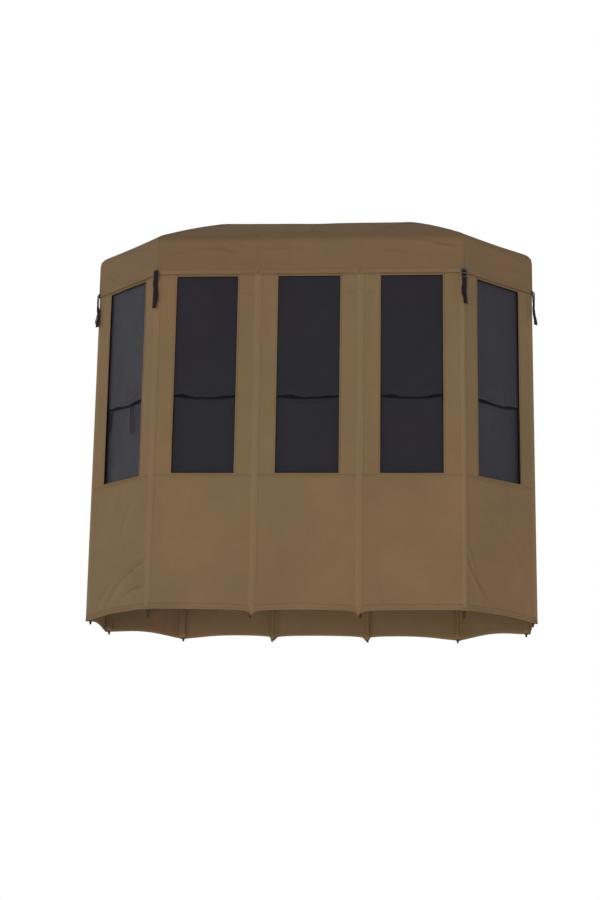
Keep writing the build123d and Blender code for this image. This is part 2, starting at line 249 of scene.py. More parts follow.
def grid(name, columns, rows, place, material, hole=None, thick=CLOTH, offset=-1.0):
    """A sheet of quads: place(u, v) gives each point, hole(u, v) says which cells are cut out."""
    made = bmesh.new()
    uv = made.loops.layers.uv.new("UVMap")
    verts = [[made.verts.new(place(u, v)) for u in columns] for v in rows]
    for j in range(len(rows) - 1):
        for i in range(len(columns) - 1):
            middle = (columns[i] + columns[i + 1]) / 2, (rows[j] + rows[j + 1]) / 2
            if hole and hole(*middle):
                continue
            corners = ((i, j), (i + 1, j), (i + 1, j + 1), (i, j + 1))
            face = made.faces.new([verts[b][a] for a, b in corners])
            for loop, (a, b) in zip(face.loops, corners):
                loop[uv].uv = (columns[a], rows[b])
    loose = [v for v in made.verts if not v.link_faces]
    bmesh.ops.delete(made, geom=loose, context="VERTS")
    bmesh.ops.remove_doubles(made, verts=made.verts, dist=1e-5)
    obj = finish_mesh(name, made, material)
    if thick:
        thicken(obj, thick, offset)
    return obj


def remap(piece, change):
    """Moves a piece's map: change(u, v) gives the new place, in metres."""
    for loop in piece.data.uv_layers["UVMap"].data:
        loop.uv = change(*loop.uv)


def swap_uv(piece, middle):
    """Turns a band's map so that u runs across it from its middle and v along it."""
    remap(piece, lambda u, v: (v - middle, u))


def crumple(piece):
    """Gives the piece its own copy of its mesh."""
    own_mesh(piece)


def fasten(piece, body, wall=None):
    """The piece rides on a body, and a piece of a wall gets its own copy of its mesh."""
    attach(piece, body)
    if wall:
        crumple(piece)


# ---------------------------------------------------------------- materials
class Nodes:
    """A material's node tree, with short ways to add and join nodes."""

    def __init__(self, name):
        self.material = bpy.data.materials.new(name)
        self.material.use_nodes = True
        self.tree = self.material.node_tree
        self.shader = self.tree.nodes["Principled BSDF"]
        self.uv = self.tree.nodes.new("ShaderNodeTexCoord").outputs["UV"]
        self.place = self.tree.nodes.new("ShaderNodeTexCoord").outputs["Object"]

    def put(self, socket, value):
        """Links a socket to another node's output, or sets it to a value."""
        if isinstance(value, bpy.types.NodeSocket):
            self.tree.links.new(value, socket)
        else:
            socket.default_value = value

    def add(self, kind, **inputs):
        node = self.tree.nodes.new(kind)
        for key, value in inputs.items():
            self.put(node.inputs[key.replace("_", " ")], value)
        return node

    def link(self, output, target):
        self.tree.links.new(output, self.shader.inputs[target])

    def fix(self, target, value):
        """Sets what is the same all over the surface."""
        self.shader.inputs[target].default_value = value

    def math(self, operation, a, b=0.0):
        node = self.tree.nodes.new("ShaderNodeMath")
        node.operation = operation
        self.put(node.inputs[0], a)
        self.put(node.inputs[1], b)
        return node.outputs[0]

    def part(self, value, share):
        return self.math("MULTIPLY", value, share)

    def total(self, a, b):
        return self.math("ADD", a, b)

    def mix(self, factor, a, b):
        node = self.tree.nodes.new("ShaderNodeMix")
        node.data_type = "RGBA"
        for socket, value in ((node.inputs[0], factor), (node.inputs[6], a), (node.inputs[7], b)):
            self.put(socket, value)
        return node.outputs[2]

    def times(self, a, b):
        node = self.tree.nodes.new("ShaderNodeVectorMath")
        node.operation = "MULTIPLY"
        self.put(node.inputs[0], a)
        self.put(node.inputs[1], b)
        return node.outputs[0]

    def stretch(self, vector, *scale):
        return self.add("ShaderNodeMapping", Vector=vector, Scale=scale).outputs[0]

    def noise(self, vector, scale, detail=3.0, rough=0.5):
        node = self.add("ShaderNodeTexNoise", Vector=vector, Scale=scale, Detail=detail, Roughness=rough)
        return node.outputs["Fac"]

    def ramp(self, value, low, high, out_low=0.0, out_high=1.0):
        node = self.add("ShaderNodeMapRange", Value=value)
        for socket, end in zip(node.inputs[1:5], (low, high, out_low, out_high)):
            socket.default_value = end
        return node.outputs[0]

    def bands(self, vector, scale, direction):
        node = self.tree.nodes.new("ShaderNodeTexWave")
        node.wave_type = "BANDS"
        node.bands_direction = direction
        for key, value in (("Vector", vector), ("Scale", scale), ("Distortion", 0.0)):
            self.put(node.inputs[key], value)
        return node.outputs["Fac"]

    def bumped(self, height, strength, distance):
        node = self.add("ShaderNodeBump", Strength=strength, Distance=distance, Height=height)
        self.link(node.outputs[0], "Normal")


def shade(colour, factor):
    """A colour made lighter or darker."""
    return tuple(min(1.0, c * factor) for c in colour[:3]) + (1.0,)


def linear(red, green, blue):
    """A colour given as it is seen, from 0 to 255, as the shader needs it."""
    def one(c):
        c = c / 255
        return c / 12.92 if c <= 0.04045 else ((c + 0.055) / 1.055) ** 2.4
    return one(red), one(green), one(blue), 1.0


GREENER = (0.95, 1.04, 1.02)
REDDER = (1.05, 0.97, 0.98)


def woven(name, colour, yarn=0.0011, mottle=0.10, rough=(0.72, 0.88), sheen=0.08, gloss=0.07, relief=0.9):
    """A coated plain weave: crossing yarns, uneven dye, soft creases and faint dust."""
    n = Nodes(name)
    scale = 2 * pi / (20 * yarn)
    warp = n.bands(n.uv, scale, "X")
    weft = n.bands(n.uv, scale, "Y")
    yarns = n.math("MAXIMUM", warp, weft)
    slub = n.noise(n.stretch(n.uv, 9.0, 1.2, 1.0), 60.0, 2.0)
    cloud = n.noise(n.place, 2.2, 4.0, 0.6)
    crease = n.noise(n.stretch(n.place, 1.0, 1.0, 0.45), 14.0, 5.0, 0.62)
    dust = n.ramp(n.noise(n.place, 7.0, 6.0, 0.7), 0.52, 0.78)
    drift = n.ramp(n.noise(n.place, 1.1, 2.0), 0.35, 0.65)
    green, red = ((*(c * k for c, k in zip(colour, tint)), 1) for tint in (GREENER, REDDER))
    tone = n.mix(drift, green, red)
    base = n.mix(n.ramp(cloud, 0.3, 0.7), (1 - mottle,) * 3 + (1,), (1 + mottle,) * 3 + (1,))
    base = n.times(tone, base)
    base = n.mix(n.part(n.ramp(yarns, 0.2, 1.0), 0.22), base, shade(colour, 0.72))
    base = n.mix(n.part(n.ramp(slub, 0.45, 0.7), 0.12), base, shade(colour, 1.25))
    base = n.mix(n.part(dust, 0.10), base, shade(colour, 1.5))
    n.link(base, "Base Color")
    n.link(n.ramp(cloud, 0.25, 0.75, *rough), "Roughness")
    n.fix("Sheen Weight", sheen)
    n.fix("Sheen Roughness", 0.45)
    n.fix("Sheen Tint", shade(colour, 2.5))
    n.fix("Specular IOR Level", gloss)
    height = n.total(n.part(yarns, 0.12), n.part(crease, 1.6))
    height = n.total(height, n.part(slub, 0.06))
    n.bumped(height, relief, 0.0022)
    return n.material


def stitched(name, colour, pitch=0.0035, row=0.0042):
    """A folded seam band with a lock stitch along both edges: u runs across it in metres, v along it."""
    n = Nodes(name)
    split = n.add("ShaderNodeSeparateXYZ", Vector=n.uv)
    across, along = split.outputs[0], split.outputs[1]
    line = n.math("ABSOLUTE", n.math("SUBTRACT", n.math("ABSOLUTE", across), row))
    thread = n.ramp(line, 0.0004, 0.0009, 1.0, 0.0)
    dash = n.ramp(n.math("PINGPONG", along, pitch / 2), pitch * 0.10, pitch * 0.16)
    stitch = n.part(thread, dash)
    cloud = n.noise(n.place, 5.0, 4.0, 0.6)
    fuzz = n.noise(n.uv, 900.0, 2.0)
    base = n.mix(n.ramp(cloud, 0.3, 0.7), shade(colour, 0.88), shade(colour, 1.06))
    base = n.mix(n.part(stitch, 0.4), base, shade(colour, 0.72))
    n.link(base, "Base Color")
    n.link(n.ramp(fuzz, 0.3, 0.7, 0.75, 0.9), "Roughness")
    n.fix("Specular IOR Level", 0.07)
    pucker = n.noise(n.stretch(n.uv, 30.0, 140.0, 1.0), 1.0, 3.0)
    height = n.math("SUBTRACT", n.total(n.part(pucker, 0.8), n.part(fuzz, 0.15)), stitch)
    n.bumped(height, 0.6, 0.0012)
    return n.material


def webbing(name, colour):
    """Flat polyester webbing: ribs across it, a diagonal twill and light fuzz."""
    n = Nodes(name)
    ribs = n.bands(n.uv, 2 * pi / (20 * 0.0016), "Y")
    twill = n.bands(n.uv, 2 * pi / (20 * 0.0030), "DIAGONAL")
    fuzz = n.noise(n.uv, 1200.0, 2.0)
    pattern = n.total(n.part(ribs, 0.6), n.part(twill, 0.4))
    base = n.mix(n.ramp(pattern, 0.2, 0.8), shade(colour, 0.65), shade(colour, 1.35))
    base = n.mix(n.part(fuzz, 0.15), base, shade(colour, 1.8))
    n.link(base, "Base Color")
    n.link(n.ramp(fuzz, 0.3, 0.7, 0.7, 0.88), "Roughness")
    n.fix("Specular IOR Level", 0.12)
    n.bumped(n.total(pattern, n.part(fuzz, 0.3)), 0.7, 0.0008)
    return n.material


def moulded(name, colour, rough=(0.38, 0.55), grain=0.25):
    """Moulded plastic: fine spark grain, faint flow marks and scuffs."""
    n = Nodes(name)
    fine = n.noise(n.place, 2600.0, 3.0)
    flow = n.noise(n.stretch(n.place, 1.0, 1.0, 4.0), 30.0, 4.0)
    scuff = n.ramp(n.noise(n.stretch(n.place, 6.0, 1.0, 1.0), 90.0, 6.0, 0.7), 0.60, 0.72)
    base = n.mix(n.ramp(flow, 0.3, 0.7), shade(colour, 0.85), shade(colour, 1.15))
    base = n.mix(n.part(scuff, 0.35), base, shade(colour, 2.2))
    n.link(base, "Base Color")
    n.link(n.ramp(n.total(flow, n.part(scuff, 0.5)), 0.3, 1.0, *rough), "Roughness")
    n.bumped(n.total(fine, n.part(scuff, 0.8)), grain, 0.0004)
    return n.material


MUD = (0.12, 0.09, 0.06, 1)


def rubber(name, colour):
    """Rubber with a fine grain and dried mud in patches."""
    n = Nodes(name)
    fine = n.noise(n.place, 1500.0, 4.0)
    dirt = n.ramp(n.noise(n.place, 60.0, 6.0, 0.7), 0.45, 0.7)
    base = n.mix(n.part(dirt, 0.30), colour, MUD)
    n.link(base, "Base Color")
    n.link(n.ramp(dirt, 0.0, 1.0, 0.62, 0.9), "Roughness")
    n.fix("Specular IOR Level", 0.12)
    n.bumped(n.total(fine, dirt), 0.35, 0.0005)
    return n.material


def fibreglass(name, colour):
    """A pultruded rod: fine lengthwise strands under a satin coat."""
    n = Nodes(name)
    strands = n.noise(n.stretch(n.place, 1.0, 1.0, 0.012), 900.0, 3.0)
    wear = n.ramp(n.noise(n.place, 22.0, 5.0, 0.7), 0.58, 0.72)
    base = n.mix(strands, shade(colour, 0.7), shade(colour, 1.5))
    base = n.mix(n.part(wear, 0.4), base, shade(colour, 2.6))
    n.link(base, "Base Color")
    n.link(n.ramp(strands, 0.3, 0.7, 0.30, 0.48), "Roughness")
    n.fix("Coat Weight", 0.3)
    n.bumped(strands, 0.2, 0.0004)
    return n.material


def metal(name, colour, rough=(0.22, 0.42)):
    """Drawn tube: lengthwise brushing and small scratches."""
    n = Nodes(name)
    brushed = n.noise(n.stretch(n.place, 0.02, 1.0, 1.0), 1400.0, 3.0)
    marks = n.ramp(n.noise(n.place, 50.0, 6.0, 0.75), 0.60, 0.70)
    base = n.mix(brushed, shade(colour, 0.85), shade(colour, 1.1))
    base = n.mix(n.part(marks, 0.3), base, shade(colour, 0.6))
    n.link(base, "Base Color")
    n.link(n.ramp(n.total(brushed, marks), 0.3, 1.6, *rough), "Roughness")
    n.fix("Metallic", 1.0)
    n.bumped(brushed, 0.15, 0.0003)
    return n.material


BROWN = linear(123, 101, 73)
CAP_BROWN = linear(116, 93, 68)
SEAM_BROWN = linear(122, 99, 72)
SHADE_DARK = linear(33, 31, 39)
STRAP_DARK = linear(30, 22, 26)

wall_cloth = woven("shell_cloth", BROWN)
cap_cloth = woven("cap_cloth", CAP_BROWN, mottle=0.08, rough=(0.62, 0.78))
# The roof's copy of the cap cloth is made darker: painted shade on the up-facing roof, which gets less light
# than the upright valance.
painted_shade_roof_cloth = woven("painted_shade_roof_cloth", shade(CAP_BROWN, 0.82), mottle=0.08, rough=(0.62, 0.78), sheen=0.20)
pole_cloth = woven("pole_cloth", shade(BROWN, 1.08), mottle=0.06)
seam_cloth = stitched("seam_band", SEAM_BROWN)
shade_cloth = woven("shade_cloth", SHADE_DARK, yarn=0.0009, mottle=0.14, rough=(0.42, 0.60),
                    sheen=0.0, gloss=0.13, relief=0.7)
# Near black: on the shades' hems this is painted shadow along the line where the two shades overlap; on the
# zip it is the tape's own colour.
hem_shadow_and_zip_tape_cloth = stitched("shade_hem", shade(SHADE_DARK, 0.35), row=0.0050)
strap_cloth = webbing("webbing", STRAP_DARK)
tie_cloth = webbing("tie_tape", shade(STRAP_DARK, 0.8))
buckle_plastic = moulded("buckle_plastic", linear(58, 52, 52))
hub_plastic = moulded("hub_plastic", linear(38, 38, 40))
knuckle_plastic = moulded("knuckle_plastic", linear(34, 34, 36))
foot_rubber = rubber("foot_rubber", linear(50, 40, 30))
rod_glass = fibreglass("rod_fibreglass", linear(36, 36, 38))
tube_metal = metal("ridge_metal", linear(170, 170, 172))
steel = metal("pin_steel", linear(150, 148, 145))
zip_metal = metal("zip_metal", linear(60, 58, 56), rough=(0.35, 0.5))
zip_teeth = moulded("zip_teeth", linear(30, 30, 31))


# ---------------------------------------------------------------- the shape of the cloth
# Soft folds of a wall: place along it, height, tilt in degrees, length, width, and depth in (or out, below 0)
FOLDS = {
    "left_front_angle": (
        (0.66, 0.21, 30, 0.16, 0.017, -0.0250), (0.80, 0.145, 12, 0.07, 0.010, -0.0150),
        (0.84, 0.25, 33, 0.07, 0.011, -0.0120), (0.62, 0.53, 65, 0.12, 0.016, -0.0150),
        (0.45, 0.60, 76, 0.10, 0.012, -0.0120), (0.86, 0.60, 95, 0.09, 0.014, -0.0080),
        (0.13, 0.58, 83, 0.12, 0.013, -0.0140), (0.30, 0.14, 42, 0.12, 0.014, -0.0130),
    ),
    "right_front_angle": (
        (0.10, 0.22, -55, 0.16, 0.012, -0.0060), (0.20, 0.16, -48, 0.14, 0.012, -0.0055),
        (0.06, 0.34, -65, 0.14, 0.012, -0.0045), (0.50, 0.50, -35, 0.25, 0.020, 0.0040),
        (0.75, 0.30, 60, 0.25, 0.018, 0.0040),
    ),
    "front_left": (
        (0.35, 0.40, 80, 0.35, 0.022, 0.0040), (0.70, 0.25, 60, 0.20, 0.018, 0.0035),
        (0.10, 0.62, -70, 0.12, 0.014, 0.0035), (0.93, 1.725, -18, 0.060, 0.006, -0.0050),
        (0.93, 1.745, -30, 0.050, 0.006, -0.0045), (0.88, 1.60, 80, 0.16, 0.012, 0.0030),
    ),
    "front_middle": (
        (0.07, 1.725, 18, 0.060, 0.006, -0.0050), (0.07, 1.745, 30, 0.050, 0.006, -0.0045),
        (0.30, 0.45, 85, 0.30, 0.022, 0.0035), (0.93, 1.730, -20, 0.060, 0.006, -0.0050),
        (0.93, 1.748, -34, 0.045, 0.006, -0.0040), (0.72, 0.35, 70, 0.25, 0.020, 0.0035),
        (0.10, 1.60, 95, 0.16, 0.012, 0.0030),
    ),
    "front_right": (
        (0.88, 0.20, 55, 0.18, 0.012, 0.0060), (0.95, 0.30, 65, 0.14, 0.012, 0.0045),
        (0.40, 0.55, 75, 0.30, 0.022, 0.0035), (0.07, 1.730, 20, 0.060, 0.006, -0.0050),
        (0.20, 0.25, 95, 0.20, 0.018, 0.0035), (0.10, 1.58, 88, 0.16, 0.012, 0.0030),
    ),
}


def scattered_folds(wall):
    """Folds of a wall that has none of its own, the same at every run."""
    dice = random.Random(WALL_NAMES.index(wall) * 17 + 3)
    return [
        (dice.uniform(0.1, 0.9), dice.uniform(0.15, 1.6), dice.uniform(-70, 70),
         dice.uniform(0.12, 0.30), dice.uniform(0.013, 0.022), dice.uniform(0.0025, 0.0060))
        for _ in range(8)
    ]


def fold_depth(folds, across, height):
    """How far the folds press the cloth in at a point: across is in metres from the wall's own leg."""
    total = 0.0
    for s0, z0, tilt, length, width, depth in folds:
        dx, dz = across - s0 * SEGMENT, height - z0
        along = dx * cos(radians(tilt)) + dz * sin(radians(tilt))
        off = -dx * sin(radians(tilt)) + dz * cos(radians(tilt)) + 0.10 * along * along / length
        total += depth * exp(-((along / length) ** 2) - (off / width) ** 2)
        total -= depth * 0.5 * exp(-((along / length) ** 2) - ((off - 1.6 * width) / width) ** 2)
    return total


def hem_height(wall, s):
    """Lower edge of the wall: lifted between the legs, drawn down in a point, or softly, to the feet."""
    z = HEM_Z + HEM_RISE * arch(s, 0.6)
    for leg, near in zip(wall_legs(wall), (s, 1 - s)):
        if leg.endswith("inner"):
            z -= HEM_POINT * (0.4 * exp(-near / 0.08) + 0.6 * bump(near, 0, 0.022))
        else:
            z -= (HEM_LIFT if leg.startswith("front") else HEM_DIP) * bump(near, 0, 0.30)
    return z


def wall_depth(wall, folds, s, z):
    """How far inside the straight line between two poles the cloth of a wall lies."""
    edge = sin(pi * s)
    tight = smooth((z - HEM_Z) / 0.25) * smooth((CAP_HEM_Z + 0.15 - z) / 0.35)
    near = min(s, 1 - s) * SEGMENT
    depth = WALL_SLACK * (1 - exp(-near / 0.030)) * (0.6 + 0.4 * tight)
    seed = WALL_NAMES.index(wall)
    depth += 0.0040 * edge * wave(s * SEGMENT, z * 0.45, size=0.20, seed=seed)
    depth += 0.0012 * edge * wave(s * SEGMENT * 1.6, z * 0.7, size=0.07, seed=seed + 40)
    pull = exp(-near / 0.07) * sin(near / 0.011) * 0.0016
    depth += pull * bump(z, CAP_HEM_Z - 0.10, 0.10) + pull * 1.3 * bump(z, HEM_Z + 0.05, 0.09)
    depth += fold_depth(folds, s * SEGMENT, z)
    depth -= 0.0012 * bump(z, (WINDOW_SILL + HEM_Z) / 2 - 0.09, 0.0040)
    depth *= min(1.0, near / 0.012)
    return DEEPEST * tanh(depth / DEEPEST) if depth > 0 else depth


FOLD_SETS = {wall: FOLDS.get(wall) or scattered_folds(wall) for wall in WALL_NAMES}


def wall_point(wall, across, z, lift=0.0):
    """A point on the outside of a wall's cloth, or lifted off it."""
    s = across / SEGMENT
    clamped = min(1.0, max(0.0, s))
    low = hem_height(wall, clamped)
    z = z + (low - HEM_Z) * smooth(1 - (z - HEM_Z) / 0.45)
    depth = wall_depth(wall, FOLD_SETS[wall], clamped, z)
    point = plan(wall, s, WALL_APOTHEM + FACE - depth + lift)
    return Vector((point.x, point.y, z))


def over_corner(surface, leg, u, v, lift):
    """A point of the walls' or the valance's surface at a distance u past a leg, or before it if u < 0."""
    before, after = beside(leg)
    return surface(before, SEGMENT + u, v, lift) if u < 0 else surface(after, u, v, lift)


# ---------------------------------------------------------------- walls
WINDOW_TRIM = 0.009
DOOR_TRIM = 0.014
TRIM_LIFT = 0.0009


def wall_columns(count, stops=()):
    """Places along a wall, closer together beside the poles."""
    ends = [CORNER_GAP + 0.004 * i for i in range(1, 6)]
    return spread(CORNER_GAP, SEGMENT - CORNER_GAP, count, (*stops, *ends, *(SEGMENT - e for e in ends)))


def make_wall(wall):
    """The cloth of one wall with its hem, its sill seam and the binding of its opening."""
    first = wall_legs(wall)[0]
    opening, name, trim = None, "", 0.0
    if wall in WINDOWS:
        opening = (WALL_MIDDLE - WINDOW_HALF, WALL_MIDDLE + WINDOW_HALF, WINDOW_SILL, WINDOW_HEAD)
        name, trim = f"window_binding_{wall}", WINDOW_TRIM
    elif wall == DOOR_WALL:
        opening = (WALL_MIDDLE - DOOR_HALF, WALL_MIDDLE + DOOR_HALF, DOOR_SILL, DOOR_HEAD)
        name, trim = f"door_binding_{wall}", DOOR_TRIM
    left, right, low, high = opening or (0, 0, 0, 0)
    columns = wall_columns(64 if wall in FOLDS else 46, (left, right) if opening else ())
    seam_rows = [WINDOW_SILL - 0.012 + 0.004 * i for i in range(3 if wall in WINDOWS else 5)]
    rows = spread(HEM_Z, WALL_TOP_Z - 0.004, 132, ((low, high) if opening else ()) + tuple(seam_rows))
    if wall in FOLDS:
        finer = [(a + b) / 2 for a, b in zip(rows, rows[1:]) if b < 0.75 or 1.66 < a < CAP_HEM_Z]
        rows = sorted(rows + finer)
    cloth = grid(f"wall_cloth_{wall}", columns, rows, lambda u, v: wall_point(wall, u, v), wall_cloth,
                 lambda u, v: left < u < right and low < v < high)
    fasten(cloth, f"leg_{first}", wall)
    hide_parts(f"wall_{wall}")
    trims = [make_hem(wall, first), make_sill_seam(wall, first)]
    if opening:
        trims.append(make_binding(name, wall, opening, trim, first))


def make_hem(wall, first):
    """The turned and stitched band along the lower edge."""
    columns = wall_columns(40)
    rows = spread(HEM_Z - 0.001, HEM_Z + HEM_BAND, 8)

    def place(u, v):
        t = (v - HEM_Z) / HEM_BAND
        swell = 0.0012 + 0.0022 * bump(t, 0.10, 0.16) + 0.0004 * wave(u, v, size=0.012, seed=2)
        return wall_point(wall, u, v, swell)
    band = grid(f"hem_{wall}", columns, rows, place, seam_cloth, thick=0.0016)
    swap_uv(band, HEM_Z + HEM_BAND / 2)
    fasten(band, f"leg_{first}", wall)
    return band


def make_sill_seam(wall, first):
    """The flat seam that runs round the walls under the windows."""
    low, high = WINDOW_SILL - 0.022, WINDOW_SILL - 0.0095
    strip = grid(f"sill_seam_{wall}", wall_columns(40), spread(low, high, 4),
                 lambda u, v: wall_point(wall, u, v, TRIM_LIFT), seam_cloth, thick=TRIM_THICK)
    swap_uv(strip, (low + high) / 2)
    fasten(strip, f"leg_{first}", wall)
    return strip


def make_binding(name, wall, opening, width, first):
    """A flat stitched binding round an opening."""
    left, right, low, high = opening
    half = width / 2
    columns = sorted({left - width, left - half, right + half, right + width, *spread(left, right, 12)})
    rows = sorted({low - width, low - half, high + half, high + width, *spread(low, high, 40)})
    band = grid(name, columns, rows, lambda u, v: wall_point(wall, u, v, TRIM_LIFT), seam_cloth,
                lambda u, v: left < u < right and low < v < high, thick=TRIM_THICK)
    for polygon in band.data.polygons:
        for index in polygon.loop_indices:
            loop = band.data.uv_layers["UVMap"].data[index]
            u, v = loop.uv
            if low < polygon.center.z < high:
                loop.uv = (min(abs(u - left + half), abs(u - right - half)), v)
            else:
                loop.uv = (min(abs(v - low + half), abs(v - high - half)), u)
    fasten(band, f"leg_{first}", wall)
    return band


def make_corner_seam(leg):
    """The felled seam that covers the joint between two walls, over the pole."""
    half = POLE_BAND / 2
    side = [0.0008, *(half * share for share in (0.2, 0.4, 0.6, 0.8, 1.0))]
    rows = spread(HEM_Z - 0.003, WALL_TOP_Z - 0.01, 120)

    def place(u, v):
        lift = 0.0003 + 0.0014 * (1 - (u / half) ** 2) + 0.0002 * wave(u, v, size=0.05, seed=9)
        return over_corner(wall_point, leg, u, v, lift)
    columns = [-u for u in reversed(side)] + side
    seam = grid(f"corner_seam_{leg}", columns, rows, place, pole_cloth, thick=0.0005)
    fasten(seam, f"leg_{leg}")


def make_sleeve(leg):
    """The strip of cloth that holds a pole against the inside of the wall, sewn down on both sides of it."""
    before, after = beside(leg)
    foot = corner(leg, WALL_APOTHEM) - unit(LEGS[leg][1]) * POLE_INSET
    along = (tangent(before) + tangent(after)).normalized()
    out = Vector((along.y, -along.x, 0))
    seed = LEG_NAMES.index(leg) + 200

    def place(u, v):
        sewn = over_corner(wall_point, leg, u, v, -SLEEVE_GAP)
        level = wall_point(after, 0.0, v).z
        radius = SLEEVE_RADIUS + FOOT_MORE * smooth((FOOT_TOP + 0.010 - level) / 0.012)
        radius += 0.0006 * wave(u * 30, v * 10, size=0.5, seed=seed) + 0.0005 * sin(v * 40 + seed)
        turn = SLEEVE_TURN * u / SLEEVE_HALF
        over = foot + (along * sin(turn) - out * cos(turn)) * radius
        hold = smooth((abs(u) / SLEEVE_HALF - 0.35) / 0.65)
        return Vector((over.x, over.y, level)).lerp(sewn, hold)
    columns = spread(-SLEEVE_HALF, SLEEVE_HALF, 26)
    rows = spread(HEM_Z + 0.003, LEG_TOP_Z - 0.075, 90)
    ring = [place(u, 1.0) for u in columns]
    around = sum((b - a).length for a, b in zip(ring, ring[1:]))
    sleeve = grid(f"pole_sleeve_{leg}", columns, rows, place, wall_cloth, thick=0.0007)
    remap(sleeve, lambda u, v: (u / (2 * SLEEVE_HALF) * around, v))
    fasten(sleeve, f"leg_{leg}")


for wall_name in WALL_NAMES:
    make_wall(wall_name)
for leg_name in LEG_NAMES:
    make_corner_seam(leg_name)
    make_sleeve(leg_name)


# ---------------------------------------------------------------- window shades
SHADE_DEPTH = {"upper": 0.0120, "lower": 0.0172}  # behind the straight wall, clear of its deepest fold
SHADE_ENDS = {"upper": (UPPER_LOW, WINDOW_HEAD + SHADE_LAP), "lower": (WINDOW_SILL - SHADE_LAP, LOWER_HIGH)}
SHADE_HEM = 0.016
TIE_WIDTH = 0.010


def shade_point(wall, half, across, z, lift=0.0):
    """A point on the outside of a shade. Its free end hangs in soft waves and its corners pull in."""
    low, high = SHADE_ENDS[half]
    free = z - low if half == "upper" else high - z
    loose = exp(-max(free, 0) / 0.10)
    seed = WALL_NAMES.index(wall) * 2 + (half == "upper") + 60
    middle = across - WALL_MIDDLE
    reach = WINDOW_HALF + SHADE_LAP
    drop = 0.0050 * wave(across, 0.2, size=0.085, seed=seed)
    drop += 0.0035 * wave(across, 0.7, size=0.035, seed=seed)
    drop += 0.012 * (1 - (middle / reach) ** 2) * (1 if half == "upper" else 0.3)
    depth = SHADE_DEPTH[half]
    depth += 0.0012 * wave(across, z * 0.4, size=0.10, seed=seed)
    depth += 0.0016 * loose * wave(across * 1.4, z * 0.6, size=0.05, seed=seed + 5)
    crease = 0.058 + 0.006 * wave(across, size=0.1, seed=seed)
    depth -= 0.0010 * (bump(free, 0.036, 0.004) + 0.7 * bump(free, crease, 0.004))
    if half == "upper":
        at = 0.55 * reach / SEGMENT
        slants = ((0.5 - at, -24), (0.5 + at, 18))
        creases = [(share, low + 0.034, slant, 0.07, 0.005, 0.0022) for share, slant in slants]
        depth += fold_depth(creases, across, z)
    pinch = 1 - 0.042 * loose * abs(middle / reach) ** 3
    point = plan(wall, (WALL_MIDDLE + middle * pinch) / SEGMENT, WALL_APOTHEM - depth + lift)
    return Vector((point.x, point.y, z - drop * loose))


def make_shade(wall, half):
    """One shade of a window with its rolled hem, which is drawn near black and widened in two lens shapes as
    painted shadow where the shades overlap.
    """
    low, high = SHADE_ENDS[half]
    mid, reach = WALL_MIDDLE, WINDOW_HALF + SHADE_LAP
    body = f"shade_{wall}_{half}"
    columns = spread(mid - reach, mid + reach, 30)
    rows = spread(low, high, 70)
    cloth = grid(f"shade_cloth_{wall}_{half}", columns, rows, lambda u, v: shade_point(wall, half, u, v),
                 shade_cloth, thick=0.0006)
    start = low - 0.001 if half == "upper" else high - SHADE_HEM + 0.001
    strips = spread(start, start + SHADE_HEM, 8)
    seed = WALL_NAMES.index(wall)
    dice = random.Random(seed * 5 + 1)
    # Two lens-shaped widenings of the near-black hem: painted shadow in the gap between the upper and the
    # lower shade.
    shadow_lenses = ((dice.uniform(-0.75, -0.45), dice.uniform(0.35, 0.85)),
              (dice.uniform(0.45, 0.75), dice.uniform(0.25, 0.75)))

    def rolled(u, v):
        t = (v - start) / SHADE_HEM
        lens = 0.42 + sum(share * bump(u, mid + side * reach, 0.040) for side, share in shadow_lenses)
        lens += 0.12 * wave(u, size=0.03, seed=seed)
        edge = start if half == "upper" else start + SHADE_HEM
        return shade_point(wall, half, u, edge + (v - edge) * lens, 0.0007 + 0.0014 * arch(t, 0.5))
    hem = grid(f"shade_hem_{wall}_{half}", columns, strips, rolled, hem_shadow_and_zip_tape_cloth, thick=0.0008)
    swap_uv(hem, start + SHADE_HEM / 2)
    for piece in (cloth, hem):
        fasten(piece, body, wall)
    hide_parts(body)
    if wall == "left_front_angle" and half == "upper":
        make_tie("a", wall, mid - WINDOW_HALF + 0.022, 0.125, -6)
        make_tie("b", wall, mid + 0.053, 0.165, 5)


def make_tie(mark, wall, across, length, lean):
    """A thin tie that hangs in front of the window from the upper shade's hem."""
    out, along = outward(wall), tangent(wall)
    top = shade_point(wall, "upper", across, UPPER_LOW + 0.004, 0.0032)

    def place(u, v):
        t = v / length
        turn = radians(12 * sin(3.0 * t) + 4)
        sway = sin(radians(lean)) * v + 0.0025 * sin(9 * t)
        return top + along * (u * cos(turn) + sway) + out * (u * sin(turn) - 0.0008 * t) - Vector((0, 0, v))
    tie = grid(f"tie_{wall}_{mark}", spread(-TIE_WIDTH / 2, TIE_WIDTH / 2, 4), spread(0, length, 24), place,
               tie_cloth, thick=0.0008)
    fasten(tie, f"shade_{wall}_upper", wall)


for wall_name in WINDOWS:
    for shade_half in ("upper", "lower"):
        make_shade(wall_name, shade_half)


# ---------------------------------------------------------------- roof cap
def ring(place):
    """How far out from the left hub's axis a place is."""
    return (leg_hub("front_left_inner") - Vector((place.x, place.y, 0))).length


PIVOT_RING = ring(PIVOT)
KNUCKLE_RING = ring(KNUCKLE)
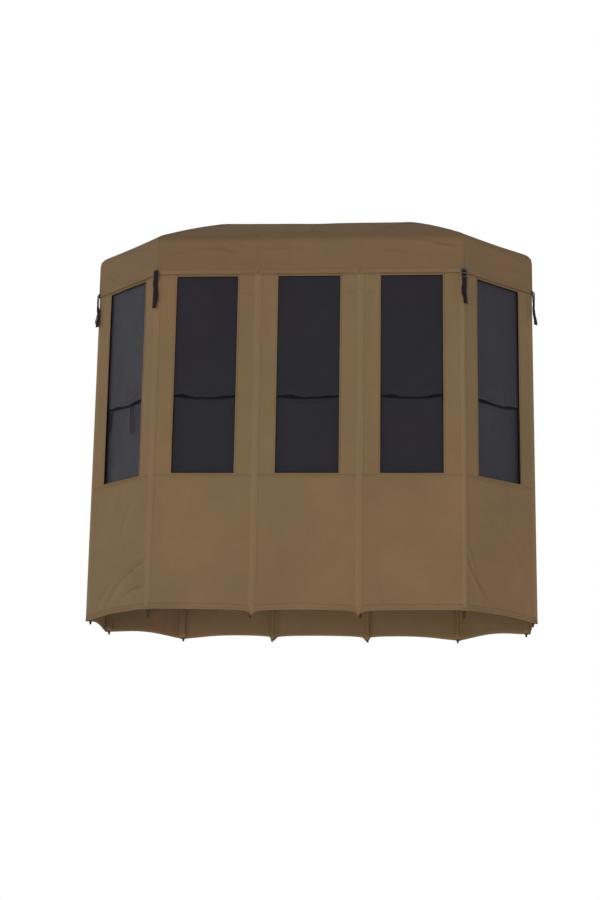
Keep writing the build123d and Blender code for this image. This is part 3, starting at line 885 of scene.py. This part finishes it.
# Rise of a roof facet for each metre from its eave
SLOPE = (PIVOT.z - KNUCKLE.z) / (KNUCKLE_RING - PIVOT_RING) / cos(HALF)
EAVE_Z = RIDGE_Z - CAP_APOTHEM * SLOPE
EAVE_SLOPE = SLOPE + 4 * ROOF_BULGE / CAP_APOTHEM
EAVE_TURN = atan2(1, EAVE_SLOPE)  # from the upright valance to the roof
EAVE_RADIUS = ROOF_EDGE_ROUND / tan(EAVE_TURN / 2)
EAVE_START = EAVE_Z - ROOF_EDGE_ROUND
EAVE_END = EAVE_START + EAVE_RADIUS * EAVE_TURN
EAVE_INSET = EAVE_RADIUS * (1 - cos(EAVE_TURN))
ROOF_TOP = CAP_APOTHEM - HUB_PATCH * 0.92  # the gores end under the hub patch
GUSSET = SEGMENT / 2 * tan(HALF)  # how far in from the eave the gussets of the middle panels reach
SEAM_COLUMNS = [SEAM_WIDTH / 2 * share for share in (-1, -0.7, -0.35, 0, 0.35, 0.7, 1)]


def roof_z(inset, s, sag=GORE_SAG):
    """Height of the roof cloth at a distance in from the eave: bowed out by the ribs, slack between them."""
    t = inset / CAP_APOTHEM
    bow = 4 * t * (1 - t)
    return EAVE_Z + inset * SLOPE + ROOF_BULGE * bow - sag * sin(pi * s) * min(1.0, 2.2 * bow)


def roof_point(wall, s, inset, lift=0.0):
    """A point on the roof cloth of one gore."""
    t = inset / CAP_APOTHEM
    first, last = wall_legs(wall)
    low = plan(wall, s, CAP_APOTHEM)
    high = leg_hub(first).lerp(leg_hub(last), s)
    flat = low.lerp(high, t)
    seed = WALL_NAMES.index(wall) + 90
    z = roof_z(inset, s)
    z += 0.0030 * sin(pi * s) * wave(flat.x, flat.y, size=0.16, seed=seed) * min(1.0, 8 * t)
    if wall in MIDDLES:
        z -= RIDGE_SAG * sin(pi * s) * smooth(t * 1.5 - 0.5)
    for end in (0, 1):
        near = abs(s - end) * SEGMENT * (1 - t)
        z += 0.0012 * exp(-near / 0.05) * sin(near / 0.010) * bump(t, 0.10, 0.12)
    normal = (outward(wall) * SLOPE + Vector((0, 0, 1))).normalized()
    return Vector((flat.x, flat.y, z)) + normal * lift


def cap_folds(wall):
    """Long shallow folds of one valance panel, most of them nearly level."""
    dice = random.Random(WALL_NAMES.index(wall) * 29 + 11)
    limits = ((0.05, 0.95), (CAP_HEM_Z + 0.02, EAVE_Z - 0.02), (-18, 18), (0.08, 0.22), (0.007, 0.014),
              (-0.0045, 0.0015))
    drops = [tuple(dice.uniform(*pair) for pair in limits) for _ in range(7)]
    if wall == "left_front_angle":
        drops.append((0.22, CAP_HEM_Z + 0.07, -35, 0.07, 0.006, -0.0050))
        drops.append((0.34, CAP_HEM_Z + 0.05, -50, 0.05, 0.006, -0.0045))
    return drops


CAP_FOLDS = {wall: cap_folds(wall) for wall in WALL_NAMES}


def valance_point(wall, across, v, lift=0.0):
    """A point on the valance: v is the height up to the rounded eave, and the length round it from there."""
    s = across / SEGMENT
    clamped = min(1.0, max(0.0, s))
    seed = WALL_NAMES.index(wall) + 20
    slack = 0.0030 * sin(pi * clamped) * smooth((EAVE_START - v) / 0.08 + 0.2)
    uneven = wave(across, v * 0.3, size=0.14, seed=seed)
    slack -= 0.0035 * uneven * sin(pi * clamped) * smooth((EAVE_Z - v) / 0.20)
    slack -= 0.0012 * arch(clamped, 0.5) * wave(across * 1.7, v, size=0.05, seed=seed + 3)
    slack += fold_depth(CAP_FOLDS[wall], across, v) * min(1.0, 14 * min(clamped, 1 - clamped))
    slack = min(slack, 0.0035)
    inset, z = slack, v
    if v > EAVE_START:
        turn = min((v - EAVE_START) / EAVE_RADIUS, EAVE_TURN)
        share = turn / EAVE_TURN
        inset = EAVE_RADIUS * (1 - cos(turn)) + slack * (1 - share)
        z = EAVE_START + EAVE_RADIUS * sin(turn)
        z += share * (roof_z(inset, clamped) - roof_z(inset, 0.0))
    else:
        z += 0.0045 * arch(clamped, 0.7) * smooth((CAP_HEM_Z + 0.05 - v) / 0.05)
        z += 0.0018 * wave(across, size=0.07, seed=seed) * smooth((CAP_HEM_Z + 0.05 - v) / 0.05)
    point = plan(wall, s, CAP_APOTHEM - inset + lift)
    return Vector((point.x, point.y, z))


def make_valance(wall):
    """One panel of the valance, up over the rounded eave, with its turned hem and the seam on the eave."""
    first = wall_legs(wall)[0]
    columns = spread(0.0, SEGMENT, 44)
    rows = spread(CAP_HEM_Z, EAVE_START, 26)[:-1] + spread(EAVE_START, EAVE_END, 12)
    cloth = grid(f"valance_{wall}", columns, rows, lambda u, v: valance_point(wall, u, v), cap_cloth)
    strips = spread(CAP_HEM_Z - 0.001, CAP_HEM_Z + VALANCE_HEM, 7)

    def turned(u, v):
        t = (v - CAP_HEM_Z) / VALANCE_HEM
        return valance_point(wall, u, v, 0.0010 + 0.0018 * bump(t, 0.1, 0.18))
    hem = grid(f"valance_hem_{wall}", columns, strips, turned, seam_cloth, thick=0.0014)
    swap_uv(hem, CAP_HEM_Z + VALANCE_HEM / 2)
    for piece in (cloth, hem):
        fasten(piece, f"leg_{first}", wall)
    make_eave_seam(wall, first)


def make_eave_seam(wall, first):
    """The felled seam along the eave, where the valance is sewn to the roof."""
    middle = EAVE_END - 0.010
    strips = spread(middle - SEAM_WIDTH / 2, middle + SEAM_WIDTH / 2, 6)

    def place(u, v):
        lift = 0.0003 + 0.0006 * (1 - (2 * (v - middle) / SEAM_WIDTH) ** 2)
        return valance_point(wall, u, v, 0.0) + Vector((0, 0, lift))
    strip = grid(f"eave_seam_{wall}", spread(0.0, SEGMENT, 44), strips, place, cap_cloth, thick=0.0005)
    swap_uv(strip, middle)
    fasten(strip, f"leg_{first}", wall)
    return strip


def make_valance_seam(leg):
    """The seam at a corner of the valance, up over the rounded eave."""
    rows = spread(CAP_HEM_Z - 0.002, EAVE_START, 18)[:-1] + spread(EAVE_START, EAVE_END, 10)
    swell = 0.0001 if leg.endswith("inner") else 0.0006

    def place(u, v):
        return over_corner(valance_point, leg, u, v, 0.0001 + swell * (1 - (2 * u / SEAM_WIDTH) ** 2))
    seam = grid(f"valance_seam_{leg}", SEAM_COLUMNS, rows, place, cap_cloth, thick=0.0003)
    fasten(seam, f"leg_{leg}")


def gore_squash(piece):
    """Gives the gore its own copy of its mesh."""
    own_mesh(piece)


def gusset_edge(s):
    """Inset of the line where a middle gore meets its gusset, square to the rib at each end of the wall."""
    return EAVE_INSET + max(0.004, 2 * GUSSET * min(s, 1 - s))


def make_gusset(wall, first):
    """The triangle of a middle roof panel that stays on the eave while the gore swings down with its ribs."""
    def inset(u, v):
        return EAVE_INSET + (gusset_edge(u) - EAVE_INSET) * v
    cloth = grid(f"gusset_{wall}", spread(0.0, 1.0, 52), spread(0.0, 1.0, 8),
                 lambda u, v: roof_point(wall, u, inset(u, v)), painted_shade_roof_cloth)
    remap(cloth, lambda u, v: (u * SEGMENT, inset(u, v)))
    fasten(cloth, f"leg_{first}", wall)


def make_half_gore(wall, leg, start, mark):
    """Half of a middle roof panel, from its gusset up to the ridge."""
    def inset(u, v):
        return gusset_edge(u) + (CAP_APOTHEM - gusset_edge(u)) * v
    cloth = grid(f"gore_{wall}_{mark}", spread(start, start + 0.5, 26), spread(0.0, 1.0, 44),
                 lambda u, v: roof_point(wall, u, inset(u, v)), painted_shade_roof_cloth)
    remap(cloth, lambda u, v: (u * SEGMENT, inset(u, v)))
    fasten(cloth, f"rib_{leg}")
    gore_squash(cloth)


def make_gore(wall):
    """One roof panel, from the rounded eave up to the hub patch or the ridge."""
    first, last = wall_legs(wall)
    if wall in MIDDLES:
        make_gusset(wall, first)
        make_half_gore(wall, first, 0.0, "first")
        make_half_gore(wall, last, 0.5, "last")
        return
    cloth = grid(f"gore_{wall}", spread(0.0, 1.0, 36), spread(EAVE_INSET, ROOF_TOP, 40),
                 lambda u, v: roof_point(wall, u, v), painted_shade_roof_cloth)
    remap(cloth, lambda u, v: (u * SEGMENT, v))
    fasten(cloth, f"rib_{first}")
    gore_squash(cloth)


def make_roof_seam(leg):
    """The felled seam over a rib, from the eave to the hub patch."""
    before, after = beside(leg)

    def place(u, v):
        t = v / CAP_APOTHEM
        wall = before if u < 0 else after
        s = abs(u) / (SEGMENT * (1 + (t if wall in MIDDLES else -t)))
        return roof_point(wall, 1 - s if u < 0 else s, v, 0.0003 + 0.0006 * (1 - (2 * u / SEAM_WIDTH) ** 2))
    seam = grid(f"roof_seam_{leg}", SEAM_COLUMNS, spread(EAVE_INSET, ROOF_TOP, 44), place,
                painted_shade_roof_cloth, thick=0.0005)
    fasten(seam, f"rib_{leg}")


def make_ridge_seam(side, name):
    """Half of the seam along the ridge between the hubs."""
    half = SEAM_WIDTH / 2
    columns = [-half, -half * 0.6, 0.0, half * 0.6, half]
    rows = spread(0.0, HUB_X, 30)

    def place(u, v):
        wall = "front_middle" if u < 0 else "rear_middle"
        s = (side * v + HUB_X) / (2 * HUB_X)
        if wall == "rear_middle":
            s = 1 - s
        lift = 0.0003 + 0.0008 * (1 - (u / half) ** 2)
        return roof_point(wall, s, CAP_APOTHEM - abs(u)) + Vector((0, 0, lift))
    if side < 0:
        columns.reverse()
    seam = grid(f"ridge_seam_{name}", columns, rows, place, painted_shade_roof_cloth, thick=0.0005, offset=1.0)
    fasten(seam, f"hub_{name}")
    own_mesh(seam)


def roof_level(side, place):
    """Height of the roof cloth near a hub, at a place in plan."""
    offset = place - Vector((side * HUB_X, 0, 0))
    width = SEGMENT * CAP_APOTHEM / WALL_APOTHEM
    if -side * offset.x > abs(place.y) * tan(HALF):
        wall = "front_middle" if place.y < 0 else "rear_middle"
        t = 1 - abs(place.y) / CAP_APOTHEM
        s = 0.5 + place.dot(tangent(wall)) / (width * (1 - t) + 2 * HUB_X * t)
    else:
        near = [w for w in WALL_NAMES if plan(w, 0.5, CAP_APOTHEM).x * side > 0.1]
        wall = max(near, key=lambda w: offset.dot(outward(w)))
        t = 1 - offset.dot(outward(wall)) / CAP_APOTHEM
        s = 0.5 + offset.dot(tangent(wall)) / max(1e-6, width * (1 - t))
    return roof_point(wall, s, t * CAP_APOTHEM).z


def make_hub_patch(side, name):
    """The stitched round patch that covers a hub, with a low mark of the disc below pushed up in it."""
    made = bmesh.new()
    uv = made.loops.layers.uv.new("UVMap")
    rings, spokes = 12, 64
    centre = Vector((side * HUB_X, 0, 0))

    def point(radius, angle):
        flat = centre + unit(angle) * radius
        level = roof_level(side, flat) + 0.0010
        disc = 0.0010 * bump(radius, 0.024, 0.006) - 0.002 * bump(radius, 0, 0.015)
        return flat + Vector((0, 0, level + disc))
    middle = made.verts.new(centre + Vector((0, 0, point(0.0001, 0.0).z)))
    rows = [[made.verts.new(point(HUB_PATCH * i / rings, 360 * k / spokes - 180)) for k in range(spokes)]
            for i in range(1, rings + 1)]
    for k in range(spokes):
        face = made.faces.new((middle, rows[0][k], rows[0][(k + 1) % spokes]))
        for loop in face.loops:
            loop[uv].uv = (0.5, 0.0)
    for i in range(rings - 1):
        edge_away = HUB_PATCH - HUB_PATCH * (i + 1) / rings, HUB_PATCH - HUB_PATCH * (i + 2) / rings
        for k in range(spokes):
            corners = ((0, k), (1, k), (1, k + 1), (0, k + 1))
            face = made.faces.new([rows[i + a][b % spokes] for a, b in corners])
            for loop, (a, b) in zip(face.loops, corners):
                loop[uv].uv = (edge_away[a] - 0.004, b * 2 * pi * HUB_PATCH / spokes)
    patch = finish_mesh(f"hub_patch_{name}", made, seam_cloth)
    thicken(patch, 0.0008)
    fasten(patch, f"hub_{name}")
    return patch


for wall_name in WALL_NAMES:
    make_valance(wall_name)
    make_gore(wall_name)
for leg_name in LEG_NAMES:
    make_valance_seam(leg_name)
    make_roof_seam(leg_name)
for hub_side, hub_name in ((-1, "left"), (1, "right")):
    make_ridge_seam(hub_side, hub_name)
    made_patch = make_hub_patch(hub_side, hub_name)
    if hub_side < 0:
        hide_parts("roof_cap")


# ---------------------------------------------------------------- corner webbing
# Per corner: length of the long and the short tail, the lean of each in degrees, and their twist
TAILS = {
    "front_left_corner": (0.172, 0.150, 0, 1, 3),
    "front_right_corner": (0.155, 0.115, 2, -3, -10),
    "side_right_front": (0.150, 0.130, 9, -8, 30),
    "side_right_rear": (0.150, 0.110, 3, -2, 12),
    "rear_right_corner": (0.155, 0.120, -3, 4, -14),
    "rear_left_corner": (0.150, 0.125, 2, -4, 10),
    "side_left_rear": (0.155, 0.115, -4, 3, 16),
    "side_left_front": (0.160, 0.135, 6, -5, -35),
}
STRAP_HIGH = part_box("corner_straps")[1].z
BUCKLE_Z = sum(c.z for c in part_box("strap_buckles")) / 2
STRAP_WIDTH = 0.025
BUCKLE_SIZE = (0.037, 0.044, 0.005)


def ribbon(name, leg, top, length, lean, twist, start, seed):
    """A length of webbing that hangs at a corner from a height, a little off the cloth."""
    out = unit(LEGS[leg][1])
    side = Vector((-out.y, out.x, 0))
    face = leg_hub(leg) + out * (CAP_APOTHEM / cos(HALF) + start)

    def place(u, v):
        t = v / length
        free = smooth((v - 0.03) / 0.06)
        turn = radians(twist) * t * free
        swing = 0.006 * wave(v, 0.3, size=0.06, seed=seed) * free + sin(radians(lean)) * v * free
        bulge = 0.0045 * sin(2.6 * pi * t) * free * (1 - 0.4 * t) + 0.0025 * t
        curl = 0.0012 * (2 * u / STRAP_WIDTH) ** 2
        across = side * (u * cos(turn) + swing)
        return face + across + out * (max(bulge, -0.001) + u * sin(turn) - curl) + Vector((0, 0, top - v))
    piece = grid(name, spread(-STRAP_WIDTH / 2, STRAP_WIDTH / 2, 6), spread(0, length, 34), place,
                 strap_cloth, thick=0.0014, offset=0.0)
    fasten(piece, f"leg_{leg}")
    return piece


def bar(made, size, at, tilt=0.0):
    """A rounded bar of the buckle."""
    before = set(made.verts)
    matrix = Matrix.Translation(at) @ Matrix.Rotation(tilt, 4, "X") @ Matrix.Diagonal((*size, 1))
    bmesh.ops.create_cube(made, size=1.0, matrix=matrix)
    new = [v for v in made.verts if v not in before]
    edges = list({e for v in new for e in v.link_edges})
    bmesh.ops.bevel(made, geom=edges, offset=min(size) * 0.28, segments=3, affect="EDGES", profile=0.6)


def make_buckle(leg):
    """A moulded ladder lock: two rails, a sewn bar on top, a gripping bar and a lifted tongue."""
    wide, tall, deep = BUCKLE_SIZE
    rail = 0.0045
    made = bmesh.new()
    for sign in (-1, 1):
        bar(made, (rail, tall, deep), Vector((sign * (wide - rail) / 2, 0, 0)))
    inner = wide - 1.2 * rail
    bar(made, (inner, 0.0050, deep * 0.80), Vector((0, tall * 0.435, 0)))
    bar(made, (inner, 0.0062, deep * 0.90), Vector((0, tall * 0.02, 0.0006)))
    bar(made, (inner, 0.0052, deep * 0.85), Vector((0, -tall * 0.30, 0.0004)))
    bar(made, (inner * 0.94, 0.0085, 0.0024), Vector((0, -tall * 0.43, 0.0024)), radians(-24))
    for k in range(7):
        bar(made, (0.0013, 0.0020, 0.0016), Vector(((k - 3) * 0.0038, -tall * 0.245, 0.0014)))
    buckle = finish_mesh(f"buckle_{leg}", made, buckle_plastic)
    out = unit(LEGS[leg][1])
    side = Vector((-out.y, out.x, 0))
    at = leg_hub(leg) + out * (CAP_APOTHEM / cos(HALF) + 0.0065)
    buckle.matrix_world = Matrix((
        (side.x, 0, out.x, at.x), (side.y, 0, out.y, at.y), (0, 1, 0, BUCKLE_Z), (0, 0, 0, 1)))
    fasten(buckle, f"leg_{leg}")
    return buckle


def make_corner_webbing(leg):
    """The buckle on its sewn loop, and the two loose tails below it."""
    long_tail, short_tail, lean, other_lean, twist = TAILS[leg]
    seed = LEG_NAMES.index(leg)
    buckle = make_buckle(leg)
    loop = ribbon(f"strap_loop_{leg}", leg, STRAP_HIGH, 0.034, 0, 0, 0.0030, seed)
    over = 0.022 if leg == "front_left_corner" else 0.0  # here the tail is folded down over the buckle
    ribbon(f"strap_long_{leg}", leg, BUCKLE_Z + 0.006 + over, long_tail + 0.02 + over, lean, twist,
           0.0115 if over else 0.0045, seed + 30)
    ribbon(f"strap_short_{leg}", leg, BUCKLE_Z - 0.010, short_tail, other_lean, -twist * 0.6,
           0.0095, seed + 60)
    return loop, buckle


webbing_pieces = {leg: make_corner_webbing(leg) for leg in TAILS}
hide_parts("corner_straps")
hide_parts("strap_buckles")


# ---------------------------------------------------------------- door and zip
DOOR_FACE = sum(c.y for c in (DOOR_LOW, DOOR_HIGH)) / 2
DOOR_SPAN = DOOR_HIGH.x - DOOR_LOW.x
DOOR_HEM = 0.022
ZIP_HALF = 0.016
TOOTH_PITCH = 0.0036


def door_point(across, z, lift=0.0):
    """A point on the outside of the door flap; across is from the hinge side."""
    shares = across / DOOR_SPAN, (z - DOOR_LOW.z) / (DOOR_HIGH.z - DOOR_LOW.z)
    edge = arch(min(1, max(0, shares[0])), 1) * arch(min(1, max(0, shares[1])), 1)
    out = 0.0030 * edge + 0.0030 * edge * wave(across, z * 0.5, size=0.18, seed=150)
    out += 0.0010 * wave(across * 1.5, z, size=0.07, seed=151) * min(1.0, 4 * edge)
    return Vector((DOOR_HIGH.x - across, DOOR_FACE + 0.0010 + max(out, -0.0005) + lift, z))


def make_door():
    """The flap and the stitched hem round it."""
    flap = grid("door_cloth", spread(0.0, DOOR_SPAN, 34), spread(DOOR_LOW.z, DOOR_HIGH.z, 110), door_point,
                wall_cloth)
    half = DOOR_HEM / 2
    left, right, low, high = DOOR_HEM, DOOR_SPAN - DOOR_HEM, DOOR_LOW.z + DOOR_HEM, DOOR_HIGH.z - DOOR_HEM
    columns = sorted({0.0, half, *spread(left, right, 26), DOOR_SPAN - half, DOOR_SPAN})
    rows = sorted({DOOR_LOW.z, DOOR_LOW.z + half, *spread(low, high, 70), DOOR_HIGH.z - half, DOOR_HIGH.z})
    band = grid("door_hem", columns, rows, lambda u, v: door_point(u, v, TRIM_LIFT), seam_cloth,
                lambda u, v: left < u < right and low < v < high, thick=TRIM_THICK)

    def stitched_place(u, v):
        if low <= v <= high:
            return min(abs(u - half), abs(u - DOOR_SPAN + half)), v
        return min(abs(v - DOOR_LOW.z - half), abs(v - DOOR_HIGH.z + half)), u
    remap(band, stitched_place)
    for piece in (flap, band):
        fasten(piece, "door", DOOR_WALL)
    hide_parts("door_flap")


SLIDER_LOW, SLIDER_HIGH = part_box("door_zip_slider")
ZIP_X = (SLIDER_LOW.x + SLIDER_HIGH.x) / 2


def make_zip():
    """Tape and teeth on the wall beside the flap's free edge."""
    across = corner(wall_legs(DOOR_WALL)[0], WALL_APOTHEM).x - ZIP_X
    low, high = DOOR_LOW.z + 0.004, SLIDER_HIGH.z + 0.010
    tape = grid("zip_tape", spread(across - ZIP_HALF, across + ZIP_HALF, 8), spread(low, high, 100),
                lambda u, v: wall_point(DOOR_WALL, u, v, 0.0010), hem_shadow_and_zip_tape_cloth, thick=0.0008)
    made = bmesh.new()
    for k in range(int((high - low - 0.004) / TOOTH_PITCH)):
        side = 1 if k % 2 else -1
        at = wall_point(DOOR_WALL, across + side * 0.0010, low + 0.002 + k * TOOTH_PITCH, 0.0024)
        matrix = Matrix.Translation(at) @ Matrix.Diagonal((0.0050, 0.0018, 0.0022, 1))
        bmesh.ops.create_cube(made, size=1.0, matrix=matrix)
    teeth = finish_mesh("zip_teeth", made, zip_teeth, rounded=False)
    for piece, slot in ((tape, "shade_cloth"), (teeth, "zip_metal")):
        fasten(piece, f"leg_{wall_legs(DOOR_WALL)[0]}", DOOR_WALL)
    return across


def make_slider(across):
    """The zip's slider: a flared body with a bridge on it, and a pull that hangs from the bridge."""
    at = wall_point(DOOR_WALL, across, SLIDER_HIGH.z - 0.013, 0.0050)
    made = bmesh.new()
    bar(made, (0.0105, 0.0026, 0.0150), Vector((0, 0, 0.0)))
    bar(made, (0.0080, 0.0026, 0.0200), Vector((0, 0.0002, -0.0008)))
    for z in (0.0050, -0.0050):
        bar(made, (0.0030, 0.0050, 0.0022), Vector((0, 0.0030, z)))
    bar(made, (0.0030, 0.0014, 0.0120), Vector((0, 0.0056, 0.0)))
    for x in (-0.0024, 0.0024):
        bar(made, (0.0018, 0.0016, 0.0360), Vector((x, 0.0046, -0.0235)))
    bar(made, (0.0066, 0.0016, 0.0030), Vector((0, 0.0046, -0.0070)))
    bar(made, (0.0072, 0.0018, 0.0110), Vector((0, 0.0046, -0.0400)))
    made.transform(Matrix.Translation(at))
    slider = finish_mesh("zip_slider_detail", made, zip_metal)
    fasten(slider, "zip_slider", DOOR_WALL)
    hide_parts("door_zip_slider")


make_door()
make_slider(make_zip())


# ---------------------------------------------------------------- poles, hubs and ridge
def dress(node, materials, choose):
    """Gives each face of a shown CAD node one of the materials, by the middle of the face."""
    mesh = frame["nodes"][node].data
    mesh.materials.clear()
    for material in materials:
        mesh.materials.append(material)
    for polygon in mesh.polygons:
        polygon.material_index = choose(polygon.center)


def off_pivot(point, leg, ring, height):
    """Distance of a point from the axis of a pin that crosses a leg's spoke."""
    out = unit(LEGS[leg][1])
    return Vector(((point - leg_hub(leg)).dot(out) - ring, point.z - height)).length


PIN = 0.0027  # reach of a steel pin's end faces from its axis
KNUCKLE_LOW = LEG_TOP_Z - 0.0525
FITTING = 0.0605  # reach of a rib's end fitting from its pin

for leg_name in LEG_NAMES:
    def leg_part(point, leg=leg_name):
        if point.z < FOOT_TOP:
            return 1
        if point.z < KNUCKLE_LOW:
            return 0
        return 3 if off_pivot(point, leg, KNUCKLE_RING, KNUCKLE.z) < PIN else 2

    def rib_part(point, leg=leg_name):
        ends = (PIVOT_RING, PIVOT.z), (KNUCKLE_RING, KNUCKLE.z)
        return 1 if min(off_pivot(point, leg, *end) for end in ends) < FITTING else 0
    dress(f"leg_{leg_name}", (rod_glass, foot_rubber, knuckle_plastic, steel), leg_part)
    dress(f"rib_{leg_name}", (rod_glass, knuckle_plastic), rib_part)

for hub_side, hub_name in ((-1, "left"), (1, "right")):
    hub_legs = [n for n in LEG_NAMES if LEGS[n][0] == hub_side]

    def hub_part(point):
        return 1 if min(off_pivot(point, n, PIVOT_RING, PIVOT.z) for n in hub_legs) < PIN else 0
    dress(f"hub_{hub_name}", (hub_plastic, steel), hub_part)
for ridge_node in ("ridge_outer_tube", "ridge_middle_tube", "ridge_inner_rod"):
    dress(ridge_node, (tube_metal,), lambda point: 0)


# ---------------------------------------------------------------- floor, light and camera
FLOOR_HALF = 30.0
SKY = (0.82, 0.34)  # strength from straight below and from straight above


def make_floor():
    """A pale floor that shows from above only, as the photograph looks up at the blind from below it.
    Light passes it, as it comes up from below in the photograph."""
    n = Nodes("floor")
    grain = n.noise(n.place, 6.0, 4.0)
    n.link(n.mix(grain, (0.90, 0.90, 0.89, 1), (0.95, 0.95, 0.94, 1)), "Base Color")
    n.fix("Roughness", 0.8)
    clear = n.tree.nodes.new("ShaderNodeBsdfTransparent")
    under = n.tree.nodes.new("ShaderNodeNewGeometry").outputs["Backfacing"]
    unseen = n.math("SUBTRACT", 1.0, n.tree.nodes.new("ShaderNodeLightPath").outputs["Is Camera Ray"])
    mixed = n.tree.nodes.new("ShaderNodeMixShader")
    n.tree.links.new(n.math("MAXIMUM", under, unseen), mixed.inputs[0])
    n.tree.links.new(n.shader.outputs[0], mixed.inputs[1])
    n.tree.links.new(clear.outputs[0], mixed.inputs[2])
    n.tree.links.new(mixed.outputs[0], n.tree.nodes["Material Output"].inputs["Surface"])
    ends = (-FLOOR_HALF, FLOOR_HALF)
    floor = grid("floor", ends, ends, lambda u, v: Vector((u, v, -0.0005)), n.material, thick=0)


def make_world():
    """White behind the blind, and a soft grey sky that lights it."""
    world = bpy.data.worlds.new("sky")
    bpy.context.scene.world = world
    world.use_nodes = True
    tree = world.node_tree
    seen = tree.nodes["Background"]
    seen.inputs["Color"].default_value = (1, 1, 1, 1)
    seen.inputs["Strength"].default_value = 1.0
    sky = tree.nodes.new("ShaderNodeBackground")
    sky.inputs["Color"].default_value = (1.0, 0.98, 0.98, 1)
    way = tree.nodes.new("ShaderNodeSeparateXYZ")
    tree.links.new(tree.nodes.new("ShaderNodeTexCoord").outputs["Generated"], way.inputs[0])
    level = tree.nodes.new("ShaderNodeMapRange")
    tree.links.new(way.outputs["Z"], level.inputs["Value"])
    for socket, value in zip(level.inputs[1:5], (-1.0, 1.0, *SKY)):
        socket.default_value = value
    tree.links.new(level.outputs[0], sky.inputs["Strength"])
    path = tree.nodes.new("ShaderNodeLightPath")
    mixed = tree.nodes.new("ShaderNodeMixShader")
    tree.links.new(path.outputs["Is Camera Ray"], mixed.inputs[0])
    tree.links.new(sky.outputs[0], mixed.inputs[1])
    tree.links.new(seen.outputs[0], mixed.inputs[2])
    tree.links.new(mixed.outputs[0], tree.nodes["World Output"].inputs["Surface"])


def add_sun(name, direction, strength, angle, colour=(1, 1, 1)):
    """A distant light that shines in a direction."""
    light = bpy.data.lights.new(name, "SUN")
    light.energy = strength
    light.angle = radians(angle)
    light.color = colour
    obj = add_object(name, light)
    obj.rotation_mode = "QUATERNION"
    obj.rotation_quaternion = Vector(direction).to_track_quat("-Z", "Y")
    return obj


make_floor()
make_world()
add_sun("key", (0.18, 0.95, 0.04), 1.12, 18, (1.0, 0.99, 0.95))
add_sun("under", (0.10, 0.60, 0.75), 0.45, 70)
SHEENS = {"left": ((0.95, -0.18, -0.25), 1.8), "right": ((-0.97, -0.05, -0.25), 1.6)}
for side_name, (side_way, side_strength) in SHEENS.items():
    sheen = add_sun(f"sheen_{side_name}", side_way, side_strength, 80)
    sheen.visible_diffuse = False

camera = bpy.data.cameras.new("camera")
camera.lens = 63.09
camera.shift_x = -0.0169
camera.clip_start, camera.clip_end = 0.1, 200
eye = add_object("camera", camera)
eye.location = (0.574, -8.724, -0.908)
look = Vector((-0.0641, 0.9743, 0.2160)).to_track_quat("-Z", "Y")
eye.rotation_euler = (look.to_matrix() @ Matrix.Rotation(0.013, 3, "Z")).to_euler()
bpy.context.scene.camera = eye
bpy.context.scene.view_settings.view_transform = "Standard"
